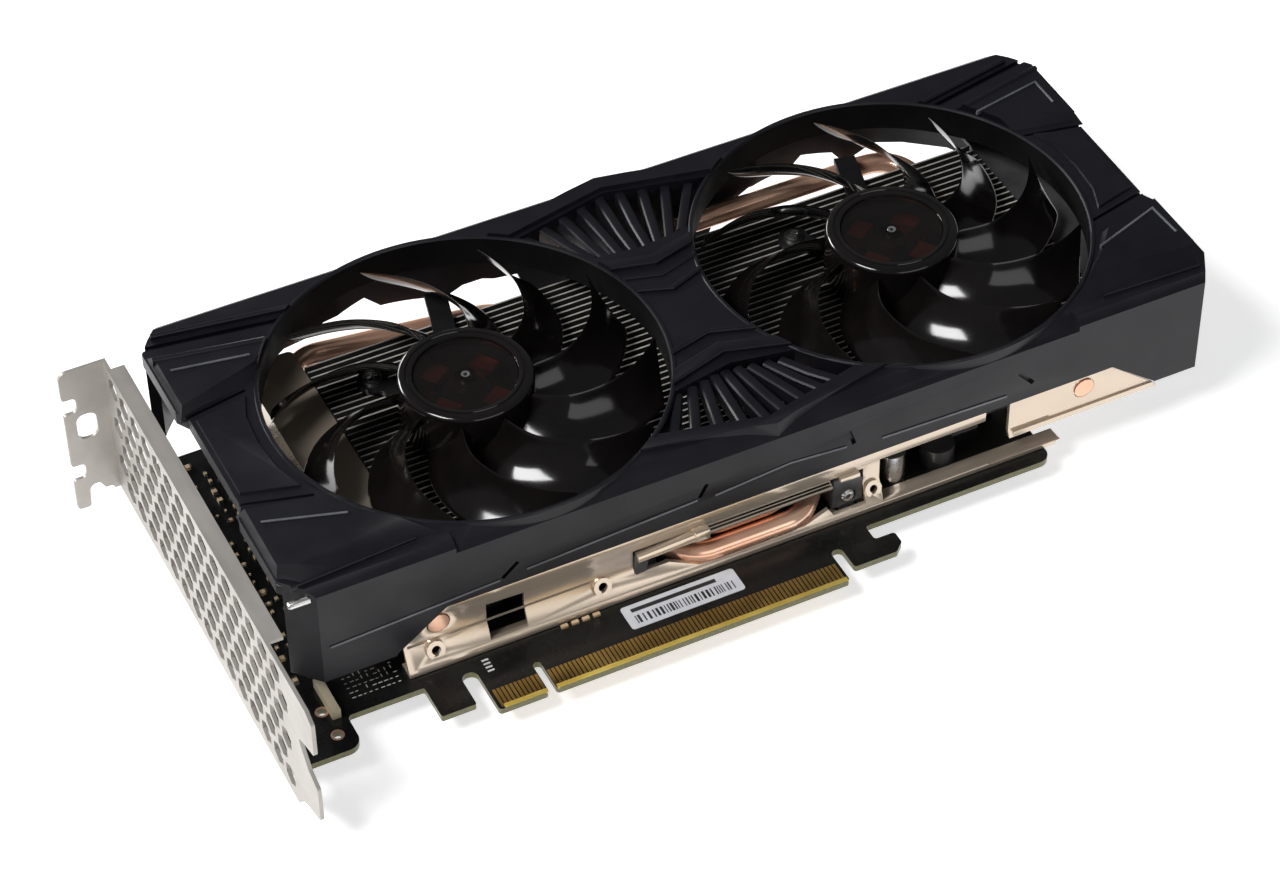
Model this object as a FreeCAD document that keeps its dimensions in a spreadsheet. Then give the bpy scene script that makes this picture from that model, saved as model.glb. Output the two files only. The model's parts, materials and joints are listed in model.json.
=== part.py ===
"""A two-slot, twin-fan graphics card, modelled as the assembly it is made from.

Lengths are millimetres.  The drawing frame used for every sketch is the card's own datum:
  x = 0 on the slot bracket's outer face, growing along the card, away from the bracket;
  y = 0 at the tips of the bracket's two tongues, growing away from the edge connector;
  z = 0 on the bracket's lower long edge, growing from the board towards the fans.
Each sub-part is then placed so that the part's origin is the bottom centre of its box.
"""
import FreeCAD, Part
import math
import os
import re
from types import SimpleNamespace

import Sketcher
from FreeCAD import Vector

# ---------------------------------------------------------------- driving dimensions
DIMENSIONS = {
    # where the drawing frame lies in the part's frame
    "shift_along": -113.465,
    "shift_across": -63.5,
    "shift_up": 3.17,
    # slot bracket
    "sheet": 0.86,
    "bracket_width": 38.74,
    "bracket_shoulder": 12.9,
    "bracket_height": 120.02,
    "tab_reach": 10.57,
    "tab_low": -3.17,
    "flange_width": 4.0,
    "ear_reach": 9.0,
    "mesh_flat": 5.0,
    "mesh_pitch": 6.7,
    "mesh_row_pitch": 5.8,
    # circuit board
    "board_low": 2.4,
    "board_high": 4.0,
    "board_end": 192.0,
    "board_far": 118.0,
    "finger_edge": 14.4,
    "contact_thick": 0.05,
    "contact_width": 0.7,
    # graphics chip and what sits on it
    "chip_along": 117.0,
    "chip_across": 62.0,
    "package_side": 37.0,
    "package_high": 6.0,
    "die_side": 19.0,
    "die_high": 6.8,
    "cold_plate_side": 36.0,
    "cold_plate_high": 9.0,
    # cooler
    "base_low": 6.2,
    "base_high": 7.7,
    "pipe_radius": 2.5,
    "fin_low": 9.2,
    "fin_high": 23.5,
    "fin_first": 42.0,
    "fin_pitch": 1.9,
    "fin_thick": 0.4,
    "fin_start": 38.5,
    "fin_full_start": 44.5,
    "fin_end": 218.0,
    "post_radius": 2.5,
    "post_high": 23.9,
    # shroud
    "shroud_near": 33.0,
    "shroud_far": 127.0,
    "shroud_end": 237.5,
    "shroud_top": 38.0,
    "shroud_ceiling": 35.2,
    "shroud_wall": 2.2,
    "wedge_top": 40.5,
    "wall_low": 21.0,
    "leg_low": 10.5,
    "opening_radius": 45.5,
    "duct_radius": 46.6,
    "duct_low": 27.0,
    # fans
    "fan_across": 79.8,
    "left_fan_along": 70.4,
    "right_fan_along": 177.8,
    "left_fan_turn": 11.6,
    "right_fan_turn": -1.4,
    "fan_frame_low": 23.9,
    "fan_frame_high": 25.3,
    "hub_radius": 15.4,
    "hub_wall": 13.9,
    "hub_low": 26.2,
    "hub_shelf": 37.2,
    "hub_top": 38.6,
    "cap_radius": 11.6,
    "cap_high": 38.0,
    "shaft_radius": 1.5,
    "bearing_bore": 1.55,
    "bearing_radius": 3.5,
    "blade_tip": 43.8,
    "blade_low": 27.0,
    "blade_high": 36.7,
}
size = SimpleNamespace(**DIMENSIONS)

BLADES_PER_FAN = 10
CONTACTS_SHORT_SIDE = 11
CONTACTS_LONG_SIDE = 71
KEY_NOTCH_ALONG = 59.91
FIN_COUNT = 38
VENT_SLOTS = 11
LUG_ANGLES = (42, 125, 250)
LUG_RADIUS = 25.0
POLE_ANGLES = (35, 125, 215, 305)
COOLER_SCREWS = [(x, y) for x in (92.0, 142.0) for y in (36.0, 88.0)]
SHROUD_BOSSES = [(35.5, 43.0), (35.5, 116.6), (224.0, 47.0), (224.0, 110.0)]
EAR_SCREWS = [(6.0, 40.0), (6.0, 100.0)]
ORIGIN = Vector(size.shift_along, size.shift_across, size.shift_up)

doc = FreeCAD.newDocument("GraphicsCard")
sub_parts = []


# ---------------------------------------------------------------- the sheet and its cells
def make_sheet():
    sheet = doc.addObject("Spreadsheet::Sheet", "Sizes")
    for row, (alias, number) in enumerate(DIMENSIONS.items(), start=1):
        sheet.set(f"A{row}", alias)
        sheet.set(f"B{row}", str(number))
        sheet.setAlias(f"B{row}", alias)
    doc.recompute()


def cell(text):
    """Turn 'board_high - board_low' into an expression on the sheet's cells."""
    def to_cell(word):
        name = word.group()
        return f"Sizes.{name}" if name in DIMENSIONS else name
    return re.sub(r"[a-z_]{3,}", to_cell, str(text))


def keep(thing, name):
    """Mark a document object as one of the finished sub-parts."""
    thing.Label = name
    sub_parts.append(thing)
    return thing


def place_at_origin(thing):
    thing.setExpression("Placement.Base.x", cell("shift_along"))
    thing.setExpression("Placement.Base.y", cell("shift_across"))
    thing.setExpression("Placement.Base.z", cell("shift_up"))


# ---------------------------------------------------------------- outlines
def polygon(points):
    """A closed outline of straight edges."""
    vectors = [Vector(x, y, 0) for x, y in points]
    return [Part.LineSegment(a, b) for a, b in zip(vectors, vectors[1:] + vectors[:1])]


def rectangle(x_low, y_low, x_high, y_high):
    return polygon([(x_low, y_low), (x_high, y_low), (x_high, y_high), (x_low, y_high)])


def centred_rectangle(x, y, width, height):
    return rectangle(x - width / 2, y - height / 2, x + width / 2, y + height / 2)


def circle(x, y, radius):
    return [Part.Circle(Vector(x, y, 0), Vector(0, 0, 1), radius)]


def regular_polygon(x, y, radius, sides, first_angle=0.0):
    angles = [math.radians(first_angle + 360 * k / sides) for k in range(sides)]
    return polygon([(x + radius * math.cos(a), y + radius * math.sin(a)) for a in angles])


def rounded(points, radii):
    """A closed outline whose corners are rounded by the given radius each (0 keeps it sharp)."""
    vectors = [Vector(x, y, 0) for x, y in points]
    count = len(vectors)
    ends, edges = [], []
    for k, corner in enumerate(vectors):
        before = (vectors[k - 1] - corner).normalize()
        after = (vectors[(k + 1) % count] - corner).normalize()
        if not radii[k]:
            ends.append((corner, corner))
            continue
        half = before.getAngle(after) / 2
        reach = radii[k] / math.tan(half)
        middle = (before + after).normalize() * (radii[k] / math.sin(half) - radii[k])
        first, last = corner + before * reach, corner + after * reach
        edges.append(Part.Arc(first, corner + middle, last))
        ends.append((first, last))
    for k in range(count):
        edges.append(Part.LineSegment(ends[k][1], ends[(k + 1) % count][0]))
    return edges


def polar(x, y, radius, degrees):
    angle = math.radians(degrees)
    return x + radius * math.cos(angle), y + radius * math.sin(angle)


def radial_bar(x, y, degrees, inner, outer, half_width):
    """A rectangle whose long axis points away from (x, y)."""
    angle = math.radians(degrees)
    along = (math.cos(angle), math.sin(angle))
    side = (-along[1], along[0])
    corners = []
    for reach, offset in ((inner, -1), (outer, -1), (outer, 1), (inner, 1)):
        corners.append((x + reach * along[0] + offset * half_width * side[0],
                        y + reach * along[1] + offset * half_width * side[1]))
    return polygon(corners)


# ---------------------------------------------------------------- bodies, pads and pockets
PLANE_ROLES = {"top": "XY_Plane", "front": "XZ_Plane", "side": "YZ_Plane"}


def new_body(name):
    body = doc.addObject("PartDesign::Body", name)
    keep(body, name)
    place_at_origin(body)
    return body


def new_sketch(body, view, loops, offset):
    """A sketch of closed loops on one of the body's own planes, moved along that plane's normal."""
    sketch = body.newObject("Sketcher::SketchObject", f"{body.Name}_sketch")
    plane = next(p for p in body.Origin.OriginFeatures if p.Role == PLANE_ROLES[view])
    sketch.AttachmentSupport = [(plane, "")]
    sketch.MapMode = "FlatFace"
    sketch.setExpression("AttachmentOffset.Base.z", cell(offset))
    for loop in loops:
        sketch.addGeometry(loop, False)
    return sketch


def pad(body, view, loops, low, high):
    """Add material between two heights along x (side), y (front) or z (top)."""
    offset = f"-({high})" if view == "front" else low
    sketch = new_sketch(body, view, loops, offset)
    feature = body.newObject("PartDesign::Pad", f"{body.Name}_pad")
    feature.Profile = sketch
    feature.setExpression("Length", cell(f"({high}) - ({low})"))
    return feature


def pocket(body, view, loops, low, high):
    """Remove material between two heights; the sketch lies on the side the pocket starts from."""
    doc.recompute()
    before = body.Shape.Volume
    offset = f"-({low})" if view == "front" else high
    sketch = new_sketch(body, view, loops, offset)
    feature = body.newObject("PartDesign::Pocket", f"{body.Name}_pocket")
    feature.Profile = sketch
    feature.setExpression("Length", cell(f"({high}) - ({low})"))
    doc.recompute()
    if body.Shape.Volume >= before - 1e-6:
        raise RuntimeError(f"a pocket in {body.Name} cut nothing")
    return feature


def plate(name, view, loops, low, high):
    """A sub-part that is one pad: a plate, a block or a group of identical blocks."""
    body = new_body(name)
    pad(body, view, loops, low, high)
    return body


def cylinder(name, x, y, low, high, radius):
    """An upright Part cylinder in the part's frame; x, y, low and high may name cells."""
    thing = doc.addObject("Part::Cylinder", name)
    thing.setExpression("Radius", cell(radius))
    thing.setExpression("Height", cell(f"({high}) - ({low})"))
    thing.setExpression("Placement.Base.x", cell(f"{x} + shift_along"))
    thing.setExpression("Placement.Base.y", cell(f"{y} + shift_across"))
    thing.setExpression("Placement.Base.z", cell(f"{low} + shift_up"))
    return thing


def box(name, x_range, y_range, z_range):
    """A Part box in the part's frame; each range is a pair of cell expressions."""
    thing = doc.addObject("Part::Box", name)
    pairs = (("Length", "x", x_range, "shift_along"), ("Width", "y", y_range, "shift_across"),
             ("Height", "z", z_range, "shift_up"))
    for side, axis, (low, high), shift in pairs:
        thing.setExpression(side, cell(f"({high}) - ({low})"))
        thing.setExpression(f"Placement.Base.{axis}", cell(f"{low} + {shift}"))
    return thing


def fuse(name, things):
    result = doc.addObject("Part::MultiFuse", name)
    result.Shapes = things
    return result


def cut(name, base, tool):
    result = doc.addObject("Part::Cut", name)
    result.Base = base
    result.Tool = tool
    return result


def feature(name, shape):
    """A sub-part whose shape is built directly; its placement is set after its shape."""
    thing = doc.addObject("Part::Feature", name)
    thing.Shape = shape
    thing.Placement = FreeCAD.Placement(ORIGIN, FreeCAD.Rotation())
    return keep(thing, name)


# ---------------------------------------------------------------- slot bracket
def bracket_outline():
    """The bracket's face, y along the slot opening and z across it, with its two tongues."""
    wide, high, shoulder = size.bracket_width, size.bracket_height, size.bracket_shoulder
    points = [(high, 0), (high, wide), (shoulder, wide), (3.0, wide), (0.0, wide - 1.6),
              (0.0, 28.0), (4.5, 26.6), (8.5, 25.0), (8.5, 23.6), (4.5, 19.2), (0.0, 17.4),
              (0.0, 7.7), (6.6, 5.6), (10.4, 3.6), (shoulder, 0)]
    radii = [0, 0, 0, 1.0, 1.0, 1.0, 0, 0.5, 0.5, 0, 1.0, 1.0, 3.0, 2.0, 0]
    return rounded(points, radii)


def mesh_holes():
    """A staggered lattice of six-sided vent holes."""
    rows, columns, first_row, first_column = 6, 15, 5.4, 16.6
    radius = size.mesh_flat / math.sqrt(3)
    loops = []
    for row in range(rows):
        stagger = size.mesh_pitch / 2 if row % 2 else 0.0
        for column in range(columns):
            along = first_column + stagger + column * size.mesh_pitch
            across = first_row + row * size.mesh_row_pitch
            if along < size.bracket_height - size.mesh_flat:
                loops.append(regular_polygon(along, across, radius, 6, 90))
    return loops


def make_bracket():
    body = new_body("slot_bracket")
    pad(body, "side", [bracket_outline()] + mesh_holes(), "0", "sheet")
    pad(body, "top", [rectangle(0, 24, size.flange_width, 116)], "bracket_width - sheet", "bracket_width")
    reach, wide, low = size.tab_reach, size.bracket_width, size.tab_low
    notch, notch_depth = 4.3, 3.3
    tab = [(size.sheet, 0), (size.sheet, wide), (-reach, wide), (-reach, 30.6), (-reach + notch_depth, 30.6),
           (-reach + notch_depth, 30.6 - notch), (-reach, 30.6 - notch), (-reach, 10.3),
           (-reach + notch_depth, 10.3), (-reach + notch_depth, 10.3 - notch), (-reach, 10.3 - notch),
           (-reach, low), (-reach + 3.2, low), (-reach + 3.6, 3.2), (-4.6, 3.2), (-3.4, 1.0), (-1.8, 1.0),
           (-1.2, 0)]
    tab_radii = [0, 0, 2.0, 0.8, 1.2, 1.2, 0.8, 0.8, 1.2, 1.2, 0.8, 1.0, 0.8, 1.6, 0.8, 0.6, 0.4, 0]
    hole = rounded([(-7.9, 17.6), (-3.1, 17.6), (-3.1, 25.0), (-7.9, 25.0)], [2.0] * 4)
    pad(body, "front", [rounded(tab, tab_radii), hole], "bracket_height - sheet", "bracket_height")
    ears = [rectangle(0, y - 4.5, size.ear_reach, y + 4.5) for _, y in EAR_SCREWS]
    pad(body, "top", ears, "board_low - sheet", "board_low")
    pocket(body, "top", [circle(x, y, 1.3) for x, y in EAR_SCREWS], "board_low - 2 * sheet", "board_low")


def make_screws(name, places, head_low, head_high, head_radius, shank_low, shank_high, shank_radius):
    """A group of identical screws: a cross-recessed head and a plain shank each."""
    body = new_body(name)
    pad(body, "top", [circle(x, y, head_radius) for x, y in places], head_low, head_high)
    pad(body, "top", [circle(x, y, shank_radius) for x, y in places], shank_low, shank_high)
    return body


# ---------------------------------------------------------------- circuit board
def board_outline():
    far, end, fingers = size.board_far, size.board_end, size.finger_edge
    notch = KEY_NOTCH_ALONG
    points = [(1.2, far), (1.2, 18.4), (17.4, 18.4), (17.4, 27.5), (35.4, 27.5), (35.4, 18.2),
              (43.6, 18.2), (43.6, 27.2), (47.3, 27.2), (47.3, fingers), (notch - 0.95, fingers),
              (notch - 0.95, 23.4), (notch + 0.95, 23.4), (notch + 0.95, fingers), (132.5, fingers),
              (132.5, 24.0), (135.3, 24.0), (135.3, 17.4), (146.0, 17.4), (148.4, 19.6), (148.4, 23.0),
              (143.4, 23.0), (143.4, 27.4), (end, 27.4), (end, far)]
    radii = [1.0, 0.5, 3.2, 1.2, 0.6, 0.5, 0.5, 1.75, 1.75, 0.8, 0.8, 0.9, 0.9, 0.8, 0.8, 1.3, 1.3, 0.8,
             0.8, 0.8, 0.8, 0.8, 0.8, 3.0, 1.0]
    return rounded(points, radii)


def make_board():
    body = plate("circuit_board", "top", [board_outline()], "board_low", "board_high")
    holes = [circle(x, y, 1.7) for x, y in COOLER_SCREWS]
    holes += [circle(x, y, 1.3) for x, y in EAR_SCREWS]
    holes += [circle(13.0, 31.0, 1.0), circle(13.5, 23.5, 1.0), circle(187.5, 32.5, 1.3)]
    pocket(body, "top", holes, "board_low - 1", "board_high + 1")


def contact_pads(low, high):
    """The gold pads of one side of the edge connector, one millimetre apart."""
    places = [KEY_NOTCH_ALONG - 1.5 - k for k in range(CONTACTS_SHORT_SIDE)]
    places += [KEY_NOTCH_ALONG + 1.5 + k for k in range(CONTACTS_LONG_SIDE)]
    half = size.contact_width / 2
    pads = []
    for x in places:
        corner = Vector(x - half, size.finger_edge + 0.6, low)
        pads.append(Part.makeBox(2 * half, 5.3, high - low, corner))
    return Part.makeCompound(pads)


def make_contacts():
    top, bottom, thick = size.board_high, size.board_low, size.contact_thick
    feature("edge_contacts_front", contact_pads(top, top + thick))
    feature("edge_contacts_back", contact_pads(bottom - thick, bottom))


def make_board_components():
    x, y = size.chip_along, size.chip_across
    plate("gpu_package", "top", [centred_rectangle(x, y, size.package_side, size.package_side)],
          "board_high", "package_high")
    plate("gpu_die", "top", [centred_rectangle(x, y, size.die_side, size.die_side)],
          "package_high", "die_high")
    memory = [(84.0, 58.0), (84.0, 76.0), (150.0, 58.0), (150.0, 76.0), (102.0, 97.0), (118.0, 97.0)]
    plate("memory_chips", "top", [centred_rectangle(a, b, 12.0, 14.0) for a, b in memory],
          "board_high", "board_high + 1.2")
    plate("thermal_pads", "top", [centred_rectangle(a, b, 12.0, 14.0) for a, b in memory],
          "board_high + 1.2", "base_low")
    chokes = [(178.0, 48.0 + 11.0 * k) for k in range(5)]
    plate("power_chokes", "top", [rounded_square(a, b, 8.5, 1.0) for a, b in chokes],
          "board_high", "base_low - 0.2")
    transistors = [(167.0, 49.0 + 5.0 * k) for k in range(10)]
    plate("power_transistors", "top", [centred_rectangle(a, b, 6.0, 4.6) for a, b in transistors],
          "board_high", "board_high + 1.0")
    cans = [(188.0, 47.0 + 9.5 * k) for k in range(6)]
    plate("polymer_capacitors", "top", [circle(a, b, 2.2) for a, b in cans],
          "board_high", "base_low - 0.2")
    plate("tall_capacitor", "top", [circle(156.0, 38.7, 3.2)], "board_high", "board_high + 8.8")
    plate("round_choke", "top", [circle(168.5, 39.6, 4.0)], "board_high", "board_high + 5.0")
    controllers = [(30.0, 46.0, 7.0), (26.0, 68.0, 5.0), (58.0, 46.0, 6.0), (62.0, 98.0, 8.0)]
    plate("controller_chips", "top", [centred_rectangle(a, b, c, c) for a, b, c in controllers],
          "board_high", "board_high + 1.1")
    small = [(20.0 + 3.2 * (k % 4), 84.0 + 2.6 * (k // 4)) for k in range(24)]
    small += [(19.0 + 3.4 * k, 54.0) for k in range(5)]
    small += [(70.0 + 2.6 * k, 30.0) for k in range(4)]
    plate("small_components", "top", [centred_rectangle(a, b, 1.6, 0.9) for a, b in small],
          "board_high", "board_high + 0.6")
    strip = [rectangle(14.2, 27.8, 16.2, 38.5)]
    plate("strip_connector", "top", strip, "board_high", "board_high + 2.4")
    make_fan_header()
    make_power_connector()
    label = rounded([(83.0, 22.4), (110.8, 22.4), (110.8, 29.4), (83.0, 29.4)], [0.8] * 4)
    plate("board_label", "top", [label], "board_high", "board_high + 0.1")


def rounded_square(x, y, side, radius):
    half = side / 2
    corners = [(x - half, y - half), (x + half, y - half), (x + half, y + half), (x - half, y + half)]
    return rounded(corners, [radius] * 4)


def make_fan_header():
    """A small open-topped socket for the fans' leads, with four pins."""
    body = plate("fan_header", "top", [centred_rectangle(28.0, 108.0, 10.0, 4.6)],
                 "board_high", "board_high + 4.5")
    pocket(body, "top", [centred_rectangle(28.0, 108.0, 8.6, 3.2)], "board_high + 1", "board_high + 4.5")
    pins = [centred_rectangle(25.0 + 2.0 * k, 108.0, 0.5, 0.5) for k in range(4)]
    pad(body, "top", pins, "board_high + 0.5", "board_high + 4.0")


def make_power_connector():
    """An eight-way power socket whose mouth faces away from the edge connector."""
    ways = [(169.0 + 4.2 * (k % 4), 6.7 + 4.2 * (k // 4)) for k in range(8)]
    body = plate("power_connector", "front", [rectangle(166.0, 4.0, 184.6, 13.4)],
                 "107.0", "119.6")
    pocket(body, "front", [rounded_square(a, b, 3.3, 0.6) for a, b in ways], "109.0", "119.6")
    latch = [rectangle(172.8, 13.4, 177.8, 14.8)]
    pad(body, "front", latch, "112.0", "118.5")
    plate("power_pins", "front", [circle(a, b, 0.8) for a, b in ways], "109.0", "117.5")


# ---------------------------------------------------------------- cooler
def make_base():
    """The plate that carries the fins; it reaches the memory chips through soft pads."""
    window = size.cold_plate_side / 2 + 0.5
    x, y = size.chip_along, size.chip_across
    outline = rounded([(40, 50), (214, 50), (214, 112), (196, 112), (196, 104), (162, 104), (162, 112), (40, 112)],
                      [2.0, 2.0, 2.0, 1.0, 1.0, 1.0, 1.0, 2.0])
    opening = rectangle(x - window, 50 - 1, x + window, y + window)
    body = plate("base_plate", "top", [outline], "base_low", "base_high")
    pocket(body, "top", [opening], "base_low - 1", "base_high + 1")
    bosses = [(a, b) for a, b in COOLER_SCREWS if b > 50]
    pocket(body, "top", [circle(a, b, 3.4) for a, b in bosses], "base_low - 1", "base_high + 1")
    cold = plate("cold_plate", "top", [rounded_square(x, y, size.cold_plate_side, 1.5)],
                 "die_high", "cold_plate_high")
    return body, cold


def near_plate_profile():
    """Section of the polished side plate: a foot, a slanted skirt, an upright web and a top flange."""
    return polygon([(33.5, 20.5), (33.5, 11.2), (30.8, 5.4), (30.8, 4.2), (35.2, 4.2), (35.2, 5.2),
                    (31.9, 5.2), (34.5, 10.9), (34.5, 19.5), (41.3, 19.5), (41.3, 20.5)])


def make_near_plate():
    body = plate("near_side_plate", "side", [near_plate_profile()], "33.5", "226.0")
    openings = [
        polygon([(33, 11), (44, 21), (33, 21)]),
        rectangle(53.2, 5.3, 62.2, 15.6),
        rectangle(87.4, 5.3, 146.6, 16.4),
        rectangle(150, 5.3, 177.2, 17.2),
        rectangle(177.2, 5.3, 183.4, 21),
        rectangle(196, 3, 228, 9.4),
        polygon([(208.5, 21), (222.5, 9.4), (228, 9), (228, 21)]),
    ]
    for opening in openings:
        pocket(body, "front", [opening], "30", "42")
    holes = [circle(40.5, 8.6, 1.3), circle(80.5, 9.2, 1.3), circle(147.9, 9.2, 1.2)]
    holes += [circle(42.0, 15.5, 2.7), circle(203.0, 16.2, 2.7)]
    pocket(body, "front", holes, "30", "36")
    near_bosses = [circle(x, y, 3.3) for x, y in COOLER_SCREWS if y < 50]
    pocket(body, "top", near_bosses, "board_high - 1", "board_high + 2")


def make_mount_plates():
    """Flat nickel-plated plates at both ends of the fins, which the shroud is screwed to."""
    for name, low, high in (("left_mount_plate", 31.5, 44.2), ("right_mount_plate", 218.3, 229.0)):
        outline = rounded([(low, 39.5), (high, 39.5), (high, 119.5), (low, 119.5)], [1.5] * 4)
        body = plate(name, "top", [outline], "fin_high - 1.2", "fin_high - 0.2")
        pad(body, "top", [rectangle(low, 44, low + 1, 113)], "fin_low", "fin_high - 1.2")
        holes = [circle(a, b, 1.3) for a, b in SHROUD_BOSSES if low < a < high]
        pocket(body, "top", holes, "fin_high - 2", "fin_high")


def pipe_solid(points, radius, bend):
    """A closed heat pipe along a route of straight runs joined by tangent arcs."""
    corners = [Vector(*point) for point in points]
    edges, start = [], corners[0]
    for before, corner, after in zip(corners, corners[1:], corners[2:]):
        back = (before - corner).normalize()
        ahead = (after - corner).normalize()
        half = back.getAngle(ahead) / 2
        reach = bend / math.tan(half)
        inward = (back + ahead).normalize() * (bend / math.sin(half) - bend)
        first, last = corner + back * reach, corner + ahead * reach
        edges.append(Part.LineSegment(start, first).toShape())
        edges.append(Part.Arc(first, corner + inward, last).toShape())
        start = last
    edges.append(Part.LineSegment(start, corners[-1]).toShape())
    spine = Part.Wire(edges)
    direction = corners[1] - corners[0]
    section = Part.Wire([Part.Circle(corners[0], direction, radius).toShape()])
    return spine.makePipeShell([section], True, False)


PIPE_ROUTES = {
    "near_heat_pipe_upper": [(70, 51.5, 12.6), (94, 51.5, 12.6), (108, 36.5, 12.1), (126, 36.5, 12.1),
                             (140, 51.5, 12.6), (164, 51.5, 12.6)],
    "near_heat_pipe_lower": [(62, 46.0, 8.3), (92, 46.0, 8.3), (104, 32.9, 8.3), (130, 32.9, 8.3),
                             (142, 46.0, 8.3), (162, 46.0, 8.3)],
    "left_heat_pipe": [(108, 46, 11.5), (108, 104, 11.5), (96, 121.2, 12.6), (42, 121.2, 19.5),
                       (42, 33.3, 15.5)],
    "right_heat_pipe": [(126, 46, 11.5), (126, 103, 11.5), (142, 121.2, 20.0), (203, 121.2, 20.0),
                        (203, 33.3, 16.2)],
}


def make_pipes():
    for name, route in PIPE_ROUTES.items():
        feature(name, pipe_solid(route, size.pipe_radius, 9.0))


def fin_openings():
    """The spaces that the fins leave for pipes, posts, the cooler's screws and tall components."""
    clearance = 0.12
    tools = []
    for name in PIPE_ROUTES:
        tool = doc.addObject("Part::Feature", f"{name}_groove")
        tool.Shape = pipe_solid(PIPE_ROUTES[name], size.pipe_radius + clearance, 9.0)
        tool.Placement = FreeCAD.Placement(ORIGIN, FreeCAD.Rotation())
        tools.append(tool)
    for x, y in fan_lugs():
        tools.append(cylinder("post_opening", x, y, "fin_low - 1", "fin_high + 1", "post_radius + 0.3"))
    tools.append(box("socket_opening", ("165", "186"), ("103", "121"), ("fin_low - 1", "15.4")))
    tools.append(box("plate_opening", ("fin_start - 1", "fin_full_start"), ("fin_first - 1", "120"),
                     ("fin_high - 1.4", "fin_high + 1")))
    return fuse("fin_openings", tools)


def make_fins():
    """A stack of thin parallel plates that run along the card."""
    stack = doc.addObject("PartDesign::Body", "fin_stack")
    place_at_origin(stack)
    outline = polygon([(size.fin_start, size.fin_low), (size.fin_end, size.fin_low),
                       (size.fin_end, size.fin_high), (size.fin_start, size.fin_high)])
    first = pad(stack, "front", [outline], "fin_first", "fin_first + fin_thick")
    doc.recompute()
    pattern = stack.newObject("PartDesign::LinearPattern", "fin_row")
    pattern.Originals = [first]
    axis = next(a for a in stack.Origin.OriginFeatures if a.Role == "Y_Axis")
    pattern.Direction = (axis, [""])
    pattern.Occurrences = FIN_COUNT
    pattern.setExpression("Length", cell(f"fin_pitch * {FIN_COUNT - 1}"))
    stack.Tip = pattern
    doc.recompute()
    return keep(cut("cooling_fins", stack, fin_openings()), "cooling_fins")


def fan_lugs():
    """Centres of the six lugs that hold the fans' frames."""
    lugs = []
    for x in (size.left_fan_along, size.right_fan_along):
        lugs += [polar(x, size.fan_across, LUG_RADIUS, angle) for angle in LUG_ANGLES]
    return lugs


def make_cooler_fasteners():
    """Sprung screws that pull the cooler onto the chip, their bosses, and the bar over the near pair."""
    bosses = plate("screw_bosses", "top", [circle(x, y, 3.0) for x, y in COOLER_SCREWS],
                   "board_high", "cold_plate_high + 0.2")
    pocket(bosses, "top", [circle(x, y, 1.4) for x, y in COOLER_SCREWS], "board_high - 1", "cold_plate_high")
    make_screws("cooler_screws", COOLER_SCREWS, "-3.1", "-1.7", 3.0, "-1.7", "board_high + 4.4", 1.4)
    coils = []
    for x, y in COOLER_SCREWS:
        helix = Part.makeHelix(1.3, 3.3, 2.3)
        wire = Part.Wire([Part.Circle(Vector(2.3, 0, 0), Vector(0, 1, 0), 0.3).toShape()])
        coil = Part.Wire(helix).makePipeShell([wire], True, True)
        coil.translate(Vector(x, y, -1.35))
        coils.append(coil)
    feature("cooler_springs", Part.makeCompound(coils))
    bar = plate("clamp_bar", "top", [rectangle(88, 34.7, 146, 39.5)], "14.8", "16.1")
    feet = [rectangle(88.6, 34.7, 94.4, 36.4), rectangle(139.6, 34.7, 145.4, 36.4)]
    pad(bar, "top", feet, "cold_plate_high + 0.2", "14.8")
    plate("fan_posts", "top", [circle(x, y, size.post_radius) for x, y in fan_lugs()],
          "base_high", "post_high")


# ---------------------------------------------------------------- shroud
def shroud_outline():
    near, far, end = size.shroud_near, size.shroud_far, size.shroud_end
    return polygon([(15, near), (end - 2.5, near), (end, 36.5), (end, 59), (end - 2.5, 62), (end - 2.5, 96),
                    (end, 99), (end, 118), (end - 6.5, far), (150, far - 0.4), (124.1, far), (98, far - 0.4),
                    (62, far - 0.4), (16, far), (9, 118), (9, 99), (11, 96), (11, 64), (9, 61), (9, 43.5)])


def shroud_hollow():
    wall = size.shroud_wall
    near, far, end = size.shroud_near + wall, size.shroud_far - wall, size.shroud_end - wall
    return polygon([(16.5, near), (end - 2.5, near), (end - 1, 38), (end - 2.5, 61), (end - 2.5, 97), (end, 100),
                    (end, 117), (end - 6, far - 0.6), (150, far - 0.4), (98, far - 0.4), (62, far - 0.4),
                    (17.5, far - 1), (11.4, 117), (11.4, 100), (13.4, 96), (13.4, 64), (11.4, 60), (11.4, 44.5)])


def vent_slots():
    """Two fans of slots between the fan openings, drawn about a far-off centre each."""
    middle = (size.left_fan_along + size.right_fan_along) / 2
    loops = []
    for side in (-1, 1):
        apex = size.fan_across - side * 15.0
        for k in range(VENT_SLOTS):
            degrees = side * 90 + (k - (VENT_SLOTS - 1) / 2) * 3.9
            inner = 39.0
            while clearance_to_fans(middle, apex, inner, degrees) < 2.4:
                inner += 0.5
            loops.append(radial_bar(middle, apex, degrees, inner, 53.5, 1.0))
    return loops


def clearance_to_fans(x, y, radius, degrees):
    """Material left between a slot's inner end and the nearer fan opening."""
    px, py = polar(x, y, radius, degrees)
    gaps = []
    for fan in (size.left_fan_along, size.right_fan_along):
        gaps.append(math.hypot(px - fan, py - size.fan_across) - size.opening_radius - 1.0)
    return min(gaps)


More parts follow.
